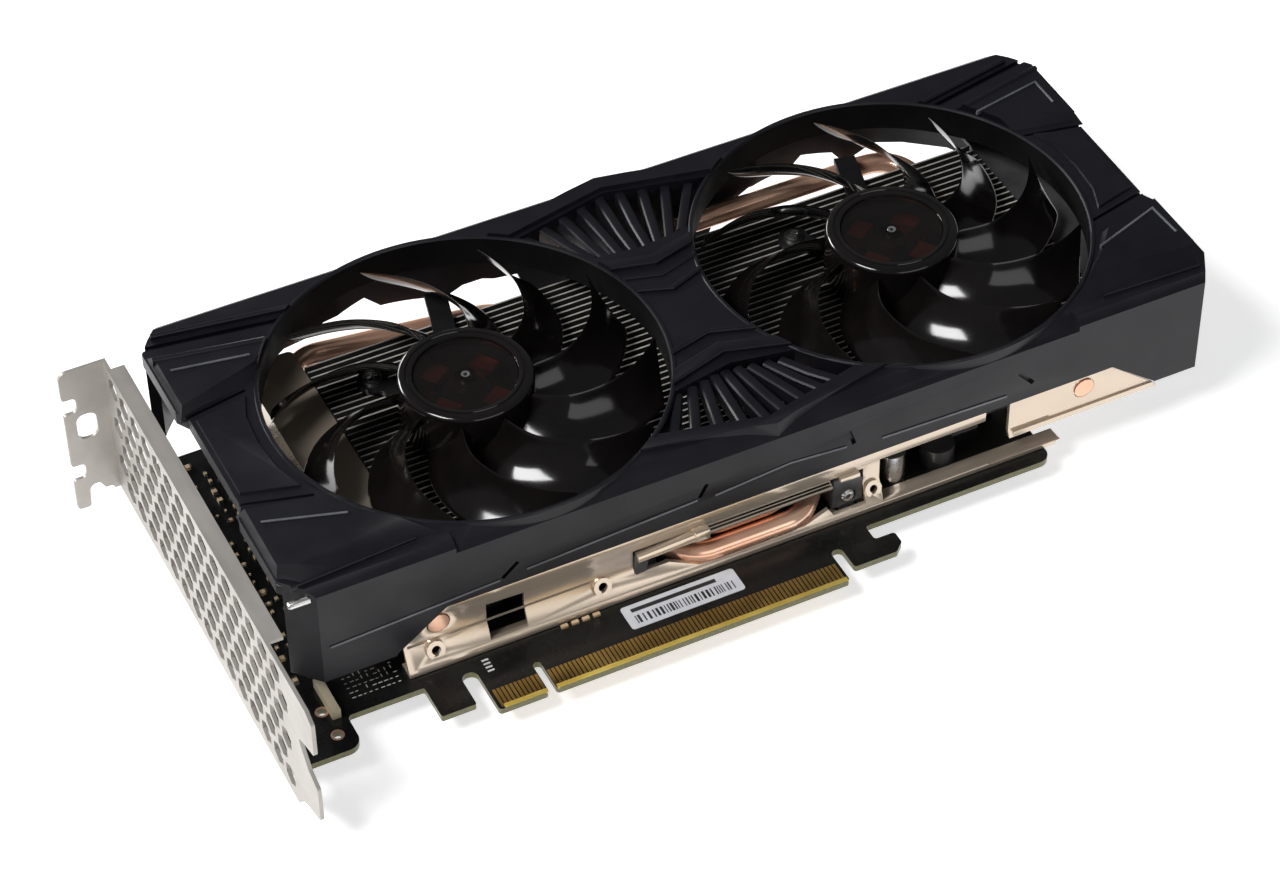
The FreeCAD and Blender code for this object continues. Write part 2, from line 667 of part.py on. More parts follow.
def corner_wedges():
    """Raised panels at the four corners; the two pairs mirror each other along the card."""
    near = [(9, 61), (9, 43.5), (13.5, 36.8), (16, 35), (48, 35), (38, 43), (27, 58)]
    far = [(9, 99), (9, 118), (15.5, 126.2), (44, 124.2), (36, 115.5), (27, 100.5)]
    end = size.shroud_end
    near_right = [(end, 59), (end, 37.5), (end - 2.5, 35), (200, 35), (210, 43), (221, 58)]
    far_right = [(end, 99), (end, 118), (end - 6, 126.2), (204, 124.4), (212, 115.5), (221, 101)]
    return [polygon(points) for points in (near, far, near_right, far_right)]


def centre_ridges():
    """Chevrons above and below the flat panel between the fans, and the frame of each vent."""
    middle, across = (size.left_fan_along + size.right_fan_along) / 2, size.fan_across
    loops = []
    for side in (-1, 1):
        for inner, outer, reach, drop in ((12.5, 14.5, 12.0, 4.0), (41.0, 43.0, 26.0, 6.5)):
            tip_in, tip_out = across + side * inner, across + side * outer
            fall = side * drop if inner < 20 else -side * drop
            loops.append(polygon([(middle - reach, tip_in + fall), (middle, tip_in),
                                  (middle + reach, tip_in + fall), (middle + reach, tip_out + fall),
                                  (middle, tip_out), (middle - reach, tip_out + fall)]))
    return loops


def make_shroud():
    body = new_body("shroud")
    pad(body, "top", [shroud_outline()], "leg_low", "shroud_top")
    for wedge in corner_wedges():
        pad(body, "top", [wedge], "shroud_top - 0.5", "wedge_top")
    for ridge in centre_ridges():
        pad(body, "top", [ridge], "shroud_top - 0.5", "shroud_top + 0.8")
    doc.recompute()
    pocket(body, "top", [shroud_hollow()], "leg_low - 1", "shroud_ceiling")
    for x in (size.left_fan_along, size.right_fan_along):
        ring = [circle(x, size.fan_across, size.duct_radius)]
        pad(body, "top", ring, "duct_low", "shroud_ceiling + 0.5")
        pocket(body, "top", [circle(x, size.fan_across, size.opening_radius)], "duct_low - 1", "wedge_top + 1")
    pocket(body, "top", vent_slots(), "shroud_ceiling - 1", "shroud_top + 1.5")
    skirt = polygon([(32, size.leg_low - 1), (32, size.leg_low), (44, size.wall_low), (211, size.wall_low),
                     (223, size.leg_low), (223, size.leg_low - 1)])
    pocket(body, "front", [skirt], "0", "shroud_far + 1")
    near_chamfer = polygon([(32, 35.4), (32, 42), (42.6, 42)])
    far_chamfer = polygon([(128, 35.4), (128, 42), (117.4, 42)])
    pocket(body, "side", [near_chamfer], "8", "shroud_end + 1")
    pocket(body, "side", [far_chamfer], "8", "shroud_end + 1")
    ends = rectangle(39, size.leg_low - 1, 128, 28.5)
    pocket(body, "side", [ends], "8", "16")
    pocket(body, "side", [ends], "shroud_end - 6", "shroud_end + 1")
    bosses = [circle(x, y, 3.0) for x, y in SHROUD_BOSSES]
    pad(body, "top", bosses, "fin_high", "shroud_ceiling + 0.5")
    pocket(body, "top", [circle(x, y, 1.1) for x, y in SHROUD_BOSSES], "fin_high - 1", "fin_high + 6")


# ---------------------------------------------------------------- fans
def blade_section(radius, lean, chord, thick):
    """One cross-section of a blade, square to the radius at its own middle angle."""
    angle = math.radians(lean)
    outward = Vector(math.cos(angle), math.sin(angle), 0)
    tangent = Vector(-outward.y, outward.x, 0)
    centre = outward * radius
    high = centre + tangent * (chord / 2) + Vector(0, 0, size.blade_high)
    low = centre - tangent * (chord / 2) + Vector(0, 0, size.blade_low)
    run = (high - low).normalize()
    normal = outward.cross(run).normalize() * (thick / 2)
    belly = (high + low) / 2 - normal * 3.2
    upper = [low + normal, belly + normal, high + normal * 0.5]
    lower = [high - normal * 0.5, belly - normal, low - normal]
    return Part.makePolygon(upper + lower + upper[:1])


def blade():
    """A forward-swept blade: its upper edge leads, and its tip is ahead of its root."""
    stations = ((14.6, 0.0, 8.0, 1.8), (24.0, 11.0, 11.5, 1.5), (34.0, 25.0, 15.0, 1.2),
                (size.blade_tip, 41.0, 16.0, 1.0))
    return Part.makeLoft([blade_section(*station) for station in stations], True, False)


def rotor_shape():
    """The hub's ring and its blades, moulded in one piece, about a vertical axis at the origin."""
    low, shelf, top = size.hub_low, size.hub_shelf, size.hub_top
    wall = Part.makeCylinder(size.hub_radius, top - low, Vector(0, 0, low))
    inside = Part.makeCylinder(size.hub_wall, shelf - low, Vector(0, 0, low))
    mouth = Part.makeCylinder(size.cap_radius, top - low, Vector(0, 0, low))
    ring = wall.cut(inside).cut(mouth)
    top_edges = [e for e in ring.Edges if abs(e.CenterOfMass.z - top) < 1e-6 and e.Length > 80]
    ring = ring.makeFillet(0.9, top_edges)
    bore = Part.makeCylinder(size.hub_wall, 20, Vector(0, 0, low - 2))
    blades = []
    for k in range(BLADES_PER_FAN):
        one = blade().cut(bore)
        one.rotate(Vector(), Vector(0, 0, 1), 360 * k / BLADES_PER_FAN)
        blades.append(one)
    return ring.multiFuse(blades).removeSplitter()


def make_fan(side, along, rotor):
    """One fan: the turning rotor, cap, magnet and shaft, and the fixed motor and frame."""
    x, y = size.__dict__[along], size.fan_across
    turned = feature(f"{side}_fan_rotor", rotor)
    turn = FreeCAD.Rotation(Vector(0, 0, 1), size.__dict__[f"{side}_fan_turn"])
    turned.Placement = FreeCAD.Placement(ORIGIN + Vector(x, y, 0), turn)
    cap = plate(f"{side}_fan_cap", "top", [circle(x, y, size.cap_radius)], "hub_shelf", "cap_high")
    pad(cap, "top", [circle(x, y, 2.6)], "hub_shelf - 1.6", "hub_shelf")
    pocket(cap, "top", [circle(x, y, size.shaft_radius)], "hub_shelf - 2", "hub_shelf + 0.3")
    shaft = cylinder(f"{side}_fan_shaft", along, "fan_across", "fan_frame_high + 0.4", "hub_shelf + 0.3",
                     "shaft_radius")
    keep(shaft, f"{side}_fan_shaft")
    plate(f"{side}_fan_magnet", "top", [circle(x, y, size.hub_wall), circle(x, y, 12.5)],
          "hub_low + 0.8", "hub_low + 8")
    plate(f"{side}_fan_bearing", "top",
          [circle(x, y, size.bearing_radius), circle(x, y, size.bearing_bore)],
          "fan_frame_high", "hub_shelf - 2")
    make_stator(side, x, y)
    make_fan_frame(side, x, y)


def make_stator(side, x, y):
    """Laminated core with four poles, a winding on each pole and the round circuit board below."""
    core = plate(f"{side}_fan_stator", "top", [circle(x, y, 5.6), circle(x, y, size.bearing_radius)],
                 "29", "33")
    pad(core, "top", [radial_bar(x, y, angle, 5.0, 11.0, 1.3) for angle in POLE_ANGLES], "29", "33")
    pad(core, "top", [radial_bar(x, y, angle, 10.4, 11.5, 3.6) for angle in POLE_ANGLES], "29", "33")
    coils = plate(f"{side}_fan_coils", "top",
                  [radial_bar(x, y, angle, 6.0, 10.2, 2.9) for angle in POLE_ANGLES], "27.6", "34.8")
    pocket(coils, "top", [radial_bar(x, y, angle, 5.0, 11.0, 1.3) for angle in POLE_ANGLES], "29", "34.8")
    pad(coils, "top", [radial_bar(x, y, angle, 6.0, 10.2, 2.9) for angle in POLE_ANGLES], "33", "34.8")
    plate(f"{side}_fan_board", "top", [circle(x, y, 11.8), circle(x, y, size.bearing_radius)],
          "fan_frame_high", "fan_frame_high + 0.8")


def make_fan_frame(side, x, y):
    """Motor seat with three lugged arms and one wider arm that guides the lead."""
    frame = plate(f"{side}_fan_frame", "top", [circle(x, y, 14.0)], "fan_frame_low", "fan_frame_high")
    arms = [radial_bar(x, y, angle, 12.0, LUG_RADIUS, 2.2) for angle in LUG_ANGLES]
    arms.append(radial_bar(x, y, 76, 12.0, 42.0, 2.6))
    for arm in arms:
        pad(frame, "top", [arm], "fan_frame_low", "fan_frame_high")
    lugs = [polar(x, y, LUG_RADIUS, angle) for angle in LUG_ANGLES]
    pad(frame, "top", [circle(a, b, 3.6) for a, b in lugs], "fan_frame_low", "fan_frame_high")
    pocket(frame, "top", [circle(a, b, 1.3) for a, b in lugs], "fan_frame_low - 1", "fan_frame_high")
    make_screws(f"{side}_fan_screws", lugs, "fan_frame_high", "fan_frame_high + 0.6", 2.3,
                "post_high", "fan_frame_high", 1.2)


# ---------------------------------------------------------------- the whole card
def build():
    make_sheet()
    make_bracket()
    make_board()
    make_contacts()
    make_board_components()
    make_screws("bracket_screws", EAR_SCREWS, "board_high", "board_high + 1.3", 2.6,
                "board_low - sheet", "board_high", 1.2)
    make_base()
    make_near_plate()
    make_mount_plates()
    make_pipes()
    make_fins()
    make_cooler_fasteners()
    make_shroud()
    make_screws("shroud_screws", SHROUD_BOSSES, "fin_high - 2.4", "fin_high - 1.2", 2.4,
                "fin_high - 1.2", "fin_high + 5", 1.05)
    rotor = rotor_shape()
    make_fan("left", "left_fan_along", rotor)
    make_fan("right", "right_fan_along", rotor)
    doc.recompute()


def check():
    """Stop if any document object failed, or if a sub-part has no sound shape."""
    for thing in doc.Objects:
        if "Invalid" in thing.State or "Error" in thing.State:
            raise RuntimeError(f"{thing.Label} is in state {thing.State}")
    for thing in sub_parts:
        if thing.Shape.isNull() or not thing.Shape.isValid():
            raise RuntimeError(f"{thing.Label} has no valid shape")
        if not thing.Shape.Solids:
            raise RuntimeError(f"{thing.Label} has no solid")


def export():
    os.makedirs("parts", exist_ok=True)
    for thing in sub_parts:
        thing.Shape.exportStep(os.path.join("parts", f"{thing.Label}.step"))


build()
check()
export()
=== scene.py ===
"""The looks of a two-slot, twin-fan graphics card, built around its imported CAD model.

Pieces are drawn in the card's own datum, in millimetres, and settled into the row's frame at the end:
  x = 0 on the slot bracket's outer face, growing along the card;
  y = 0 at the tips of the bracket's two tongues, growing away from the edge connector;
  z = 0 on the bracket's lower long edge, growing from the board towards the fans.
"""
import json
import math
import random

import bmesh
import bpy
from mathutils import Matrix, Vector


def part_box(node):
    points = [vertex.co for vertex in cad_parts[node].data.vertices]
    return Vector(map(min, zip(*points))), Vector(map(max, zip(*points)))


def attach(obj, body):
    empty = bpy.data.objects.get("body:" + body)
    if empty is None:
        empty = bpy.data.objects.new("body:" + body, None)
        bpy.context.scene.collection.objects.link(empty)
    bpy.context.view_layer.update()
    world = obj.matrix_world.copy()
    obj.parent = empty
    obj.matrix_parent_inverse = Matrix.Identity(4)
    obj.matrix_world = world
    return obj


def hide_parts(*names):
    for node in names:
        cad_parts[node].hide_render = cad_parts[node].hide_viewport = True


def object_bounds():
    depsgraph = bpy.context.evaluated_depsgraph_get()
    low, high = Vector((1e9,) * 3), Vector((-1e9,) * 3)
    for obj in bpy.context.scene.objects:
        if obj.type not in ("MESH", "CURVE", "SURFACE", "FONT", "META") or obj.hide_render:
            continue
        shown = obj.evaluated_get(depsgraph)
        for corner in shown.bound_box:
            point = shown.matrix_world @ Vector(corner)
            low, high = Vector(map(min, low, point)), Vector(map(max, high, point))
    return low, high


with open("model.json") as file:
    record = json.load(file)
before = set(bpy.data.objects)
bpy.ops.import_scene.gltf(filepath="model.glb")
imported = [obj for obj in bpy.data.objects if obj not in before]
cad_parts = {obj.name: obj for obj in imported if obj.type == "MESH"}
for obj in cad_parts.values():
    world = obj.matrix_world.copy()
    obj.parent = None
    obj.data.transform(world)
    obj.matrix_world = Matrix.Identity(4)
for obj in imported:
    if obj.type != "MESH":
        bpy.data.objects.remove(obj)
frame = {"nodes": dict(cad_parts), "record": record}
CAD_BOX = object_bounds()
NODES = frame["nodes"]
MM = 0.001

# ---------------------------------------------------------------- where the datum lies in the row's frame
BOARD_END, BOARD_FAR, BOARD_LOW, BOARD_HIGH = 192.0, 118.0, 2.4, 4.0
BOARD_SKIN = BOARD_HIGH + 0.02
board_low, board_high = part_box("circuit_board")
DATUM = Vector((board_high.x - BOARD_END * MM, board_high.y - BOARD_FAR * MM, board_low.z - BOARD_LOW * MM))
TO_ROW = Matrix.Translation(DATUM) @ Matrix.Scale(MM, 4)


def datum(point):
    """A point of the row's frame, in the datum's millimetres."""
    return (Vector(point) - DATUM) / MM


def middle(node):
    low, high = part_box(node)
    return datum((low + high) / 2)


LEFT_FAN = middle("left_fan_cap")
RIGHT_FAN = middle("right_fan_cap")
FANS = {"left": LEFT_FAN, "right": RIGHT_FAN}
FAN_TURN = {"left": 11.6, "right": -1.4}
CENTRE = (LEFT_FAN.x + RIGHT_FAN.x) / 2
OPENING_RADIUS = 45.5

# heights in the shroud, and how far parts that are joined to it reach past its faces
DUCT_LOW = 30.5
WALL_LOW = 10.5
CEILING = 35.2
DECK = 38.0
WEDGE_TOP = 40.1
SUMMIT = 40.5
SINK = 1.0
CLEAR = SUMMIT + 1.0
SHELL_WALL = 2.2


# ---------------------------------------------------------------- mesh helpers, all in datum millimetres
def new_object(name, points, faces):
    mesh = bpy.data.meshes.new(name)
    mesh.from_pydata([tuple(p) for p in points], [], faces)
    mesh.update()
    thing = bpy.data.objects.new(name, mesh)
    bpy.context.scene.collection.objects.link(thing)
    return thing


def tidy_normals(thing):
    work = bmesh.new()
    work.from_mesh(thing.data)
    bmesh.ops.recalc_face_normals(work, faces=work.faces)
    work.to_mesh(thing.data)
    work.free()
    return thing


def turned(u, v, w, along):
    """A point drawn on a plane (u, v) at height w along one axis."""
    if along == "z":
        return (u, v, w)
    if along == "y":
        return (u, w, v)
    return (w, u, v)


def rectangle(left, low, right, high):
    return [(left, low), (right, low), (right, high), (left, high)]


def frustum(bottom, top, low, high, along="z"):
    """A closed solid between two outlines that have the same number of points."""
    count = len(bottom)
    points = [turned(p[0], p[1], low, along) for p in bottom]
    points += [turned(p[0], p[1], high, along) for p in top]
    faces = [tuple(range(count))[::-1], tuple(range(count, 2 * count))]
    faces += [(k, (k + 1) % count, count + (k + 1) % count, count + k) for k in range(count)]
    return tidy_normals(new_object("solid", points, faces))


def prism(outline, low, high, along="z"):
    return frustum(outline, outline, low, high, along)


def inset(outline, distance):
    """The outline moved inwards, square to its edges."""
    points = [Vector(p[:2]) for p in outline]
    area = sum(a.cross(b) for a, b in zip(points, points[1:] + points[:1]))
    side = math.copysign(1.0, area)
    moved = []
    for before, corner, after in zip(points[-1:] + points[:-1], points, points[1:] + points[:1]):
        arriving = (corner - before).normalized()
        leaving = (after - corner).normalized()
        normal_in = Vector((-arriving.y, arriving.x)) * side
        inward = (normal_in + Vector((-leaving.y, leaving.x)) * side).normalized()
        moved.append(corner + inward * distance / max(0.5, inward.dot(normal_in)))
    return moved


def raised(outline, low, high, slope):
    """A panel whose sides lean in by slope over its height."""
    return frustum(outline, inset(outline, slope), low, high)


def arc(centre, radius, first, last, steps):
    """Points on a circle, from one angle to another."""
    angles = [math.radians(first + (last - first) * k / steps) for k in range(steps + 1)]
    return [(centre.x + radius * math.cos(a), centre.y + radius * math.sin(a)) for a in angles]


def disc(centre, radius, low, high, steps=128):
    return prism(arc(centre, radius, 0, 360 * (steps - 1) / steps, steps - 1), low, high)


def bar(route, width, low, high, along="z", shoulder=0.35):
    """A rib along a route of straight runs, with its two upper edges rounded over."""
    route = [Vector(p[:2]) for p in route]
    section = [(-0.5, low), (-0.5, high - shoulder), (-0.5 + shoulder * 0.7 / width, high - shoulder * 0.25),
               (-0.5 + shoulder * 1.6 / width, high), (0.5 - shoulder * 1.6 / width, high),
               (0.5 - shoulder * 0.7 / width, high - shoulder * 0.25), (0.5, high - shoulder), (0.5, low)]
    points, faces, count = [], [], len(section)
    for k, here in enumerate(route):
        before = (here - route[k - 1]).normalized() if k else (route[1] - here).normalized()
        after = (route[k + 1] - here).normalized() if k + 1 < len(route) else before
        side = (Vector((-before.y, before.x)) + Vector((-after.y, after.x))).normalized()
        spread = width / max(0.6, side.dot(Vector((-before.y, before.x))))
        for share, height in section:
            spot = here + side * share * spread
            points.append(turned(*spot, height, along))
    for k in range(len(route) - 1):
        for j in range(count):
            a, b = k * count + j, k * count + (j + 1) % count
            faces.append((a, b, b + count, a + count))
    faces.append(tuple(range(count))[::-1])
    faces.append(tuple(range(len(points) - count, len(points))))
    return tidy_normals(new_object("rib", points, faces))


def lathe(centre, profile, steps=96):
    """A closed ring: a closed profile of (radius, height) turned about a vertical axis."""
    points, faces, count = [], [], len(profile)
    for k in range(steps):
        angle = math.radians(360 * k / steps)
        for radius, height in profile:
            points.append((centre.x + radius * math.cos(angle), centre.y + radius * math.sin(angle), height))
    for k in range(steps):
        following = (k + 1) % steps
        for j in range(count):
            faces.append((k * count + j, k * count + (j + 1) % count,
                          following * count + (j + 1) % count, following * count + j))
    return tidy_normals(new_object("ring", points, faces))


def bake(thing):
    """Replace the mesh by what its modifiers make of it."""
    bpy.context.view_layer.update()
    seen = thing.evaluated_get(bpy.context.evaluated_depsgraph_get())
    mesh = bpy.data.meshes.new_from_object(seen)
    thing.modifiers.clear()
    thing.data = mesh
    return thing


def combine(base, tools, operation):
    """Join each tool to the base, or cut it out, and delete the tool."""
    for tool in tools:
        step = base.modifiers.new("step", "BOOLEAN")
        step.operation = operation
        step.solver = "MANIFOLD"
        step.object = tool
        bake(base)
        bpy.data.objects.remove(tool)
    return base


def join(base, *tools):
    return combine(base, tools, "UNION")


def carve(base, *tools):
    return combine(base, tools, "DIFFERENCE")


def merge(name, things):
    """One object from several that keep their own surfaces."""
    work = bmesh.new()
    for thing in things:
        work.from_mesh(thing.data)
        bpy.data.objects.remove(thing)
    mesh = bpy.data.meshes.new(name)
    work.to_mesh(mesh)
    work.free()
    merged = bpy.data.objects.new(name, mesh)
    bpy.context.scene.collection.objects.link(merged)
    return merged


def soften(thing, width, segments=2, limit=28, edge_index=-1):
    """Round the edges sharper than the limit; the rounded faces may take a material slot of their own."""
    step = thing.modifiers.new("soften", "BEVEL")
    step.material = edge_index
    step.width = width
    step.segments = segments
    step.limit_method = "ANGLE"
    step.angle_limit = math.radians(limit)
    return bake(thing)


def settle(thing, name, finish, body="card", crease=30):
    """Move a finished piece from datum millimetres into the row's frame and attach it to its body.

    A piece with several materials of its own keeps them.
    """
    thing.name = name
    thing.data.name = name
    thing.data.transform(TO_ROW)
    for face in thing.data.polygons:
        face.use_smooth = True
    thing.data.set_sharp_from_angle(angle=math.radians(crease))
    if len(thing.data.materials) < 2:
        thing.data.materials.clear()
        thing.data.materials.append(FINISHES[finish])
    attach(thing, body)
    return thing


# ---------------------------------------------------------------- materials
class Finish:
    """A material being built: one Principled shader, fed by textures in object coordinates (metres)."""

    def __init__(self, name, metallic=0.0, **sockets):
        self.material = bpy.data.materials.new(name)
        self.material.use_nodes = True
        self.nodes = self.material.node_tree.nodes
        self.links = self.material.node_tree.links
        self.shader = self.nodes["Principled BSDF"]
        self.shader.inputs["Metallic"].default_value = metallic
        for socket, value in sockets.items():
            self.shader.inputs[socket.replace("_", " ")].default_value = value
        self.place = self.nodes.new("ShaderNodeTexCoord").outputs["Object"]
        self.height = None

    def noise(self, scale, stretch=(1, 1, 1), detail=3.0, rough=0.55):
        mapping = self.nodes.new("ShaderNodeMapping")
        mapping.inputs["Scale"].default_value = stretch
        self.links.new(self.place, mapping.inputs["Vector"])
        noise = self.nodes.new("ShaderNodeTexNoise")
        noise.inputs["Scale"].default_value = scale
        noise.inputs["Detail"].default_value = detail
        noise.inputs["Roughness"].default_value = rough
        self.links.new(mapping.outputs["Vector"], noise.inputs["Vector"])
        return noise.outputs["Fac"]

    def ramp(self, source, stops):
        ramp = self.nodes.new("ShaderNodeValToRGB")
        elements = ramp.color_ramp.elements
        while len(elements) < len(stops):
            elements.new(0.5)
        for element, (position, colour) in zip(elements, stops):
            element.position = position
            element.color = (*colour, 1.0)
        self.links.new(source, ramp.inputs["Fac"])
        return ramp.outputs["Color"]

    def colour(self, dark, light, scale=120.0, stretch=(1, 1, 1)):
        """Mottled colour between two tones."""
        tone = self.ramp(self.noise(scale, stretch), [(0.3, dark), (0.7, light)])
        return self.paint(tone)

    def paint(self, output):
        self.links.new(output, self.shader.inputs["Base Color"])
        return self

    def roughness(self, low, high, scale=90.0, stretch=(1, 1, 1)):
        """Handled and worn patches: roughness that wanders between two values."""
        spread = self.nodes.new("ShaderNodeMapRange")
        spread.inputs["From Min"].default_value = 0.3
        spread.inputs["From Max"].default_value = 0.7
        spread.inputs["To Min"].default_value = low
        spread.inputs["To Max"].default_value = high
        self.links.new(self.noise(scale, stretch), spread.inputs["Value"])
        self.links.new(spread.outputs["Result"], self.shader.inputs["Roughness"])
        return self

    def bump(self, source, strength, distance):
        """Relief from a texture, on top of any relief already there."""
        bump = self.nodes.new("ShaderNodeBump")
        bump.inputs["Strength"].default_value = strength
        bump.inputs["Distance"].default_value = distance
        self.links.new(source, bump.inputs["Height"])
        if self.height is not None:
            self.links.new(self.height, bump.inputs["Normal"])
        self.height = bump.outputs["Normal"]
        self.links.new(self.height, self.shader.inputs["Normal"])
        return self

    def grain(self, scale, strength, distance=0.00005, stretch=(1, 1, 1)):
        return self.bump(self.noise(scale, stretch, detail=2.0), strength, distance)


def blend_colours(finish, factor, first, second):
    """One colour over another, by a factor that varies over the surface."""
    blend = finish.nodes.new("ShaderNodeMix")
    blend.data_type = "RGBA"
    finish.links.new(factor, blend.inputs["Factor"])
    finish.links.new(first, blend.inputs["A"])
    finish.links.new(second, blend.inputs["B"])
    return blend.outputs["Result"]


def facing_up(finish, low=0.6, high=0.8):
    """1 on faces that point up or down, 0 on the sides."""
    texture = finish.nodes.new("ShaderNodeTexCoord")
    split = finish.nodes.new("ShaderNodeSeparateXYZ")
    finish.links.new(texture.outputs["Normal"], split.inputs["Vector"])
    size = finish.nodes.new("ShaderNodeMath")
    size.operation = "ABSOLUTE"
    finish.links.new(split.outputs["Z"], size.inputs[0])
    step = finish.nodes.new("ShaderNodeMapRange")
    step.inputs["From Min"].default_value = low
    step.inputs["From Max"].default_value = high
    finish.links.new(size.outputs[0], step.inputs["Value"])
    return step.outputs["Result"]


def plastic(name, dark, light, low, high, grain=0.25, grain_scale=2600.0, **sockets):
    """Mottled colour between two tones, roughness between low and high, and a fine moulded grain."""
    return Finish(name, **sockets).colour(dark, light).roughness(low, high).grain(grain_scale, grain)


def brushed(finish, dark, light, low, high, stretch=(1, 1, 1), scale=700.0, streak=0.12, depth=0.00002):
    """Broad colour patches, handled roughness and fine streaks along the stretch."""
    finish.colour(dark, light, 60.0).roughness(low, high, 140.0, stretch)
    return finish.grain(scale, streak, depth, stretch).material


def board_finish():
    """Black solder mask with faint traces under it, and the cut edge of the laminate."""
    finish = Finish("black_solder_mask", Specular_IOR_Level=0.4, Coat_Weight=0.12, Coat_Roughness=0.12)
    cells = finish.nodes.new("ShaderNodeTexVoronoi")
    cells.distance = "MANHATTAN"
    cells.feature = "DISTANCE_TO_EDGE"
    cells.inputs["Scale"].default_value = 450.0
    finish.links.new(finish.place, cells.inputs["Vector"])
    traces = [(0.02, (0.0075, 0.008, 0.0075)), (0.10, (0.005, 0.0053, 0.0053))]
    mask = finish.ramp(cells.outputs["Distance"], traces)
    laminate = [(0.3, (0.075, 0.075, 0.025)), (0.7, (0.17, 0.16, 0.065))]
    edge = finish.ramp(finish.noise(900.0, (1, 1, 6)), laminate)
    finish.paint(blend_colours(finish, facing_up(finish), edge, mask)).roughness(0.22, 0.38)
    finish.bump(cells.outputs["Distance"], 0.2, 0.00002)
    return finish.grain(3500.0, 0.12).material


def fin_finish():
    """Bright stamped edges in the aluminium's own colour, and painted shade on the flanks between the fins."""
    finish = Finish("fin_aluminium", metallic=0.6)
    # the flanks' dark tone is painted shade between the fins, not a colour of the metal
    flank_painted_shade = finish.ramp(finish.noise(120.0), [(0.3, (0.05, 0.048, 0.045)), (0.7, (0.11, 0.105, 0.10))])
    rim = finish.ramp(finish.noise(300.0), [(0.3, (0.70, 0.67, 0.60)), (0.7, (0.98, 0.95, 0.88))])
    finish.paint(blend_colours(finish, facing_up(finish), flank_painted_shade, rim))
    return finish.roughness(0.34, 0.5, 140.0, (1, 0.3, 3)).grain(700.0, 0.12, 0.00002).material


def mirror_plate():
    """Warm polished sheet with fine drawn streaks, hazy patches and a slight ripple."""
    finish = Finish("polished_plate", metallic=0.7).colour((0.66, 0.55, 0.43), (0.74, 0.62, 0.50), 25.0)
    finish.roughness(0.14, 0.24, 60.0, (0.5, 1, 2)).grain(900.0, 0.05, 0.00002, (0.3, 1, 2))
    return finish.grain(30.0, 0.10, 0.0002).material


def label_finish():
    """Slightly greyed white paper."""
    finish = Finish("label_paper").colour((0.52, 0.53, 0.57), (0.60, 0.61, 0.64), 300.0)
    return finish.roughness(0.45, 0.6).grain(1500.0, 0.1).material


DULL = {  # name: dark tone, light tone, lowest roughness, highest roughness
    "chip_black": ((0.012, 0.012, 0.013), (0.022, 0.022, 0.023), 0.42, 0.6),
    "ferrite_grey": ((0.10, 0.10, 0.10), (0.17, 0.17, 0.165), 0.5, 0.7),
    "ferrite_black": ((0.018, 0.018, 0.02), (0.035, 0.035, 0.038), 0.35, 0.55),
    "boss_dark": ((0.03, 0.03, 0.032), (0.06, 0.06, 0.062), 0.3, 0.5),
    "connector_black": ((0.010, 0.010, 0.011), (0.02, 0.02, 0.021), 0.3, 0.45),
    "frame_black": ((0.006, 0.006, 0.007), (0.012, 0.012, 0.013), 0.35, 0.5),
    "magnet_ring": ((0.008, 0.008, 0.009), (0.014, 0.014, 0.015), 0.4, 0.6),
    "motor_board": ((0.006, 0.014, 0.008), (0.010, 0.022, 0.012), 0.3, 0.5),
    "chip_carrier": ((0.02, 0.07, 0.035), (0.03, 0.10, 0.05), 0.35, 0.5),
    "thermal_pad": ((0.30, 0.33, 0.38), (0.40, 0.43, 0.48), 0.8, 0.95),
    "ceramic_tan": ((0.42, 0.30, 0.17), (0.60, 0.45, 0.28), 0.4, 0.6),
    "connector_beige": ((0.40, 0.34, 0.24), (0.55, 0.48, 0.35), 0.4, 0.55),
    "connector_white": ((0.72, 0.71, 0.66), (0.84, 0.83, 0.78), 0.35, 0.5),
}
METALS = {  # the same, and the stretch of the streaks
    "screw_steel": ((0.55, 0.54, 0.52), (0.75, 0.74, 0.72), 0.2, 0.34, (1, 1, 1)),
    "contact_gold": ((0.62, 0.38, 0.10), (0.85, 0.58, 0.18), 0.26, 0.42, (1, 1, 1)),
    "silicon": ((0.10, 0.11, 0.13), (0.16, 0.17, 0.2), 0.05, 0.12, (1, 1, 1)),
    "can_silver": ((0.62, 0.62, 0.62), (0.82, 0.82, 0.82), 0.18, 0.3, (1, 1, 1)),
    "pin_tin": ((0.66, 0.66, 0.64), (0.82, 0.82, 0.8), 0.2, 0.35, (1, 1, 1)),
    "plate_aluminium": ((0.60, 0.60, 0.60), (0.78, 0.78, 0.77), 0.28, 0.42, (0.4, 3, 3)),
    "plate_copper": ((0.62, 0.28, 0.14), (0.78, 0.38, 0.20), 0.2, 0.36, (1, 1, 1)),
    "spring_steel": ((0.5, 0.5, 0.5), (0.7, 0.7, 0.7), 0.2, 0.3, (1, 1, 1)),
    "bar_grey": ((0.17, 0.15, 0.12), (0.26, 0.22, 0.18), 0.24, 0.36, (0.2, 1, 1)),
    "post_aluminium": ((0.6, 0.6, 0.6), (0.78, 0.78, 0.78), 0.25, 0.38, (1, 1, 1)),
    "shaft_steel": ((0.7, 0.7, 0.7), (0.85, 0.85, 0.85), 0.12, 0.2, (1, 1, 1)),
    "bearing_bronze": ((0.05, 0.035, 0.02), (0.08, 0.055, 0.03), 0.35, 0.45, (1, 1, 1)),
    "stator_steel": ((0.03, 0.03, 0.031), (0.05, 0.05, 0.052), 0.4, 0.5, (1, 1, 6)),
    "coil_copper": ((0.45, 0.05, 0.025), (0.75, 0.14, 0.07), 0.25, 0.35, (1, 1, 8)),
}


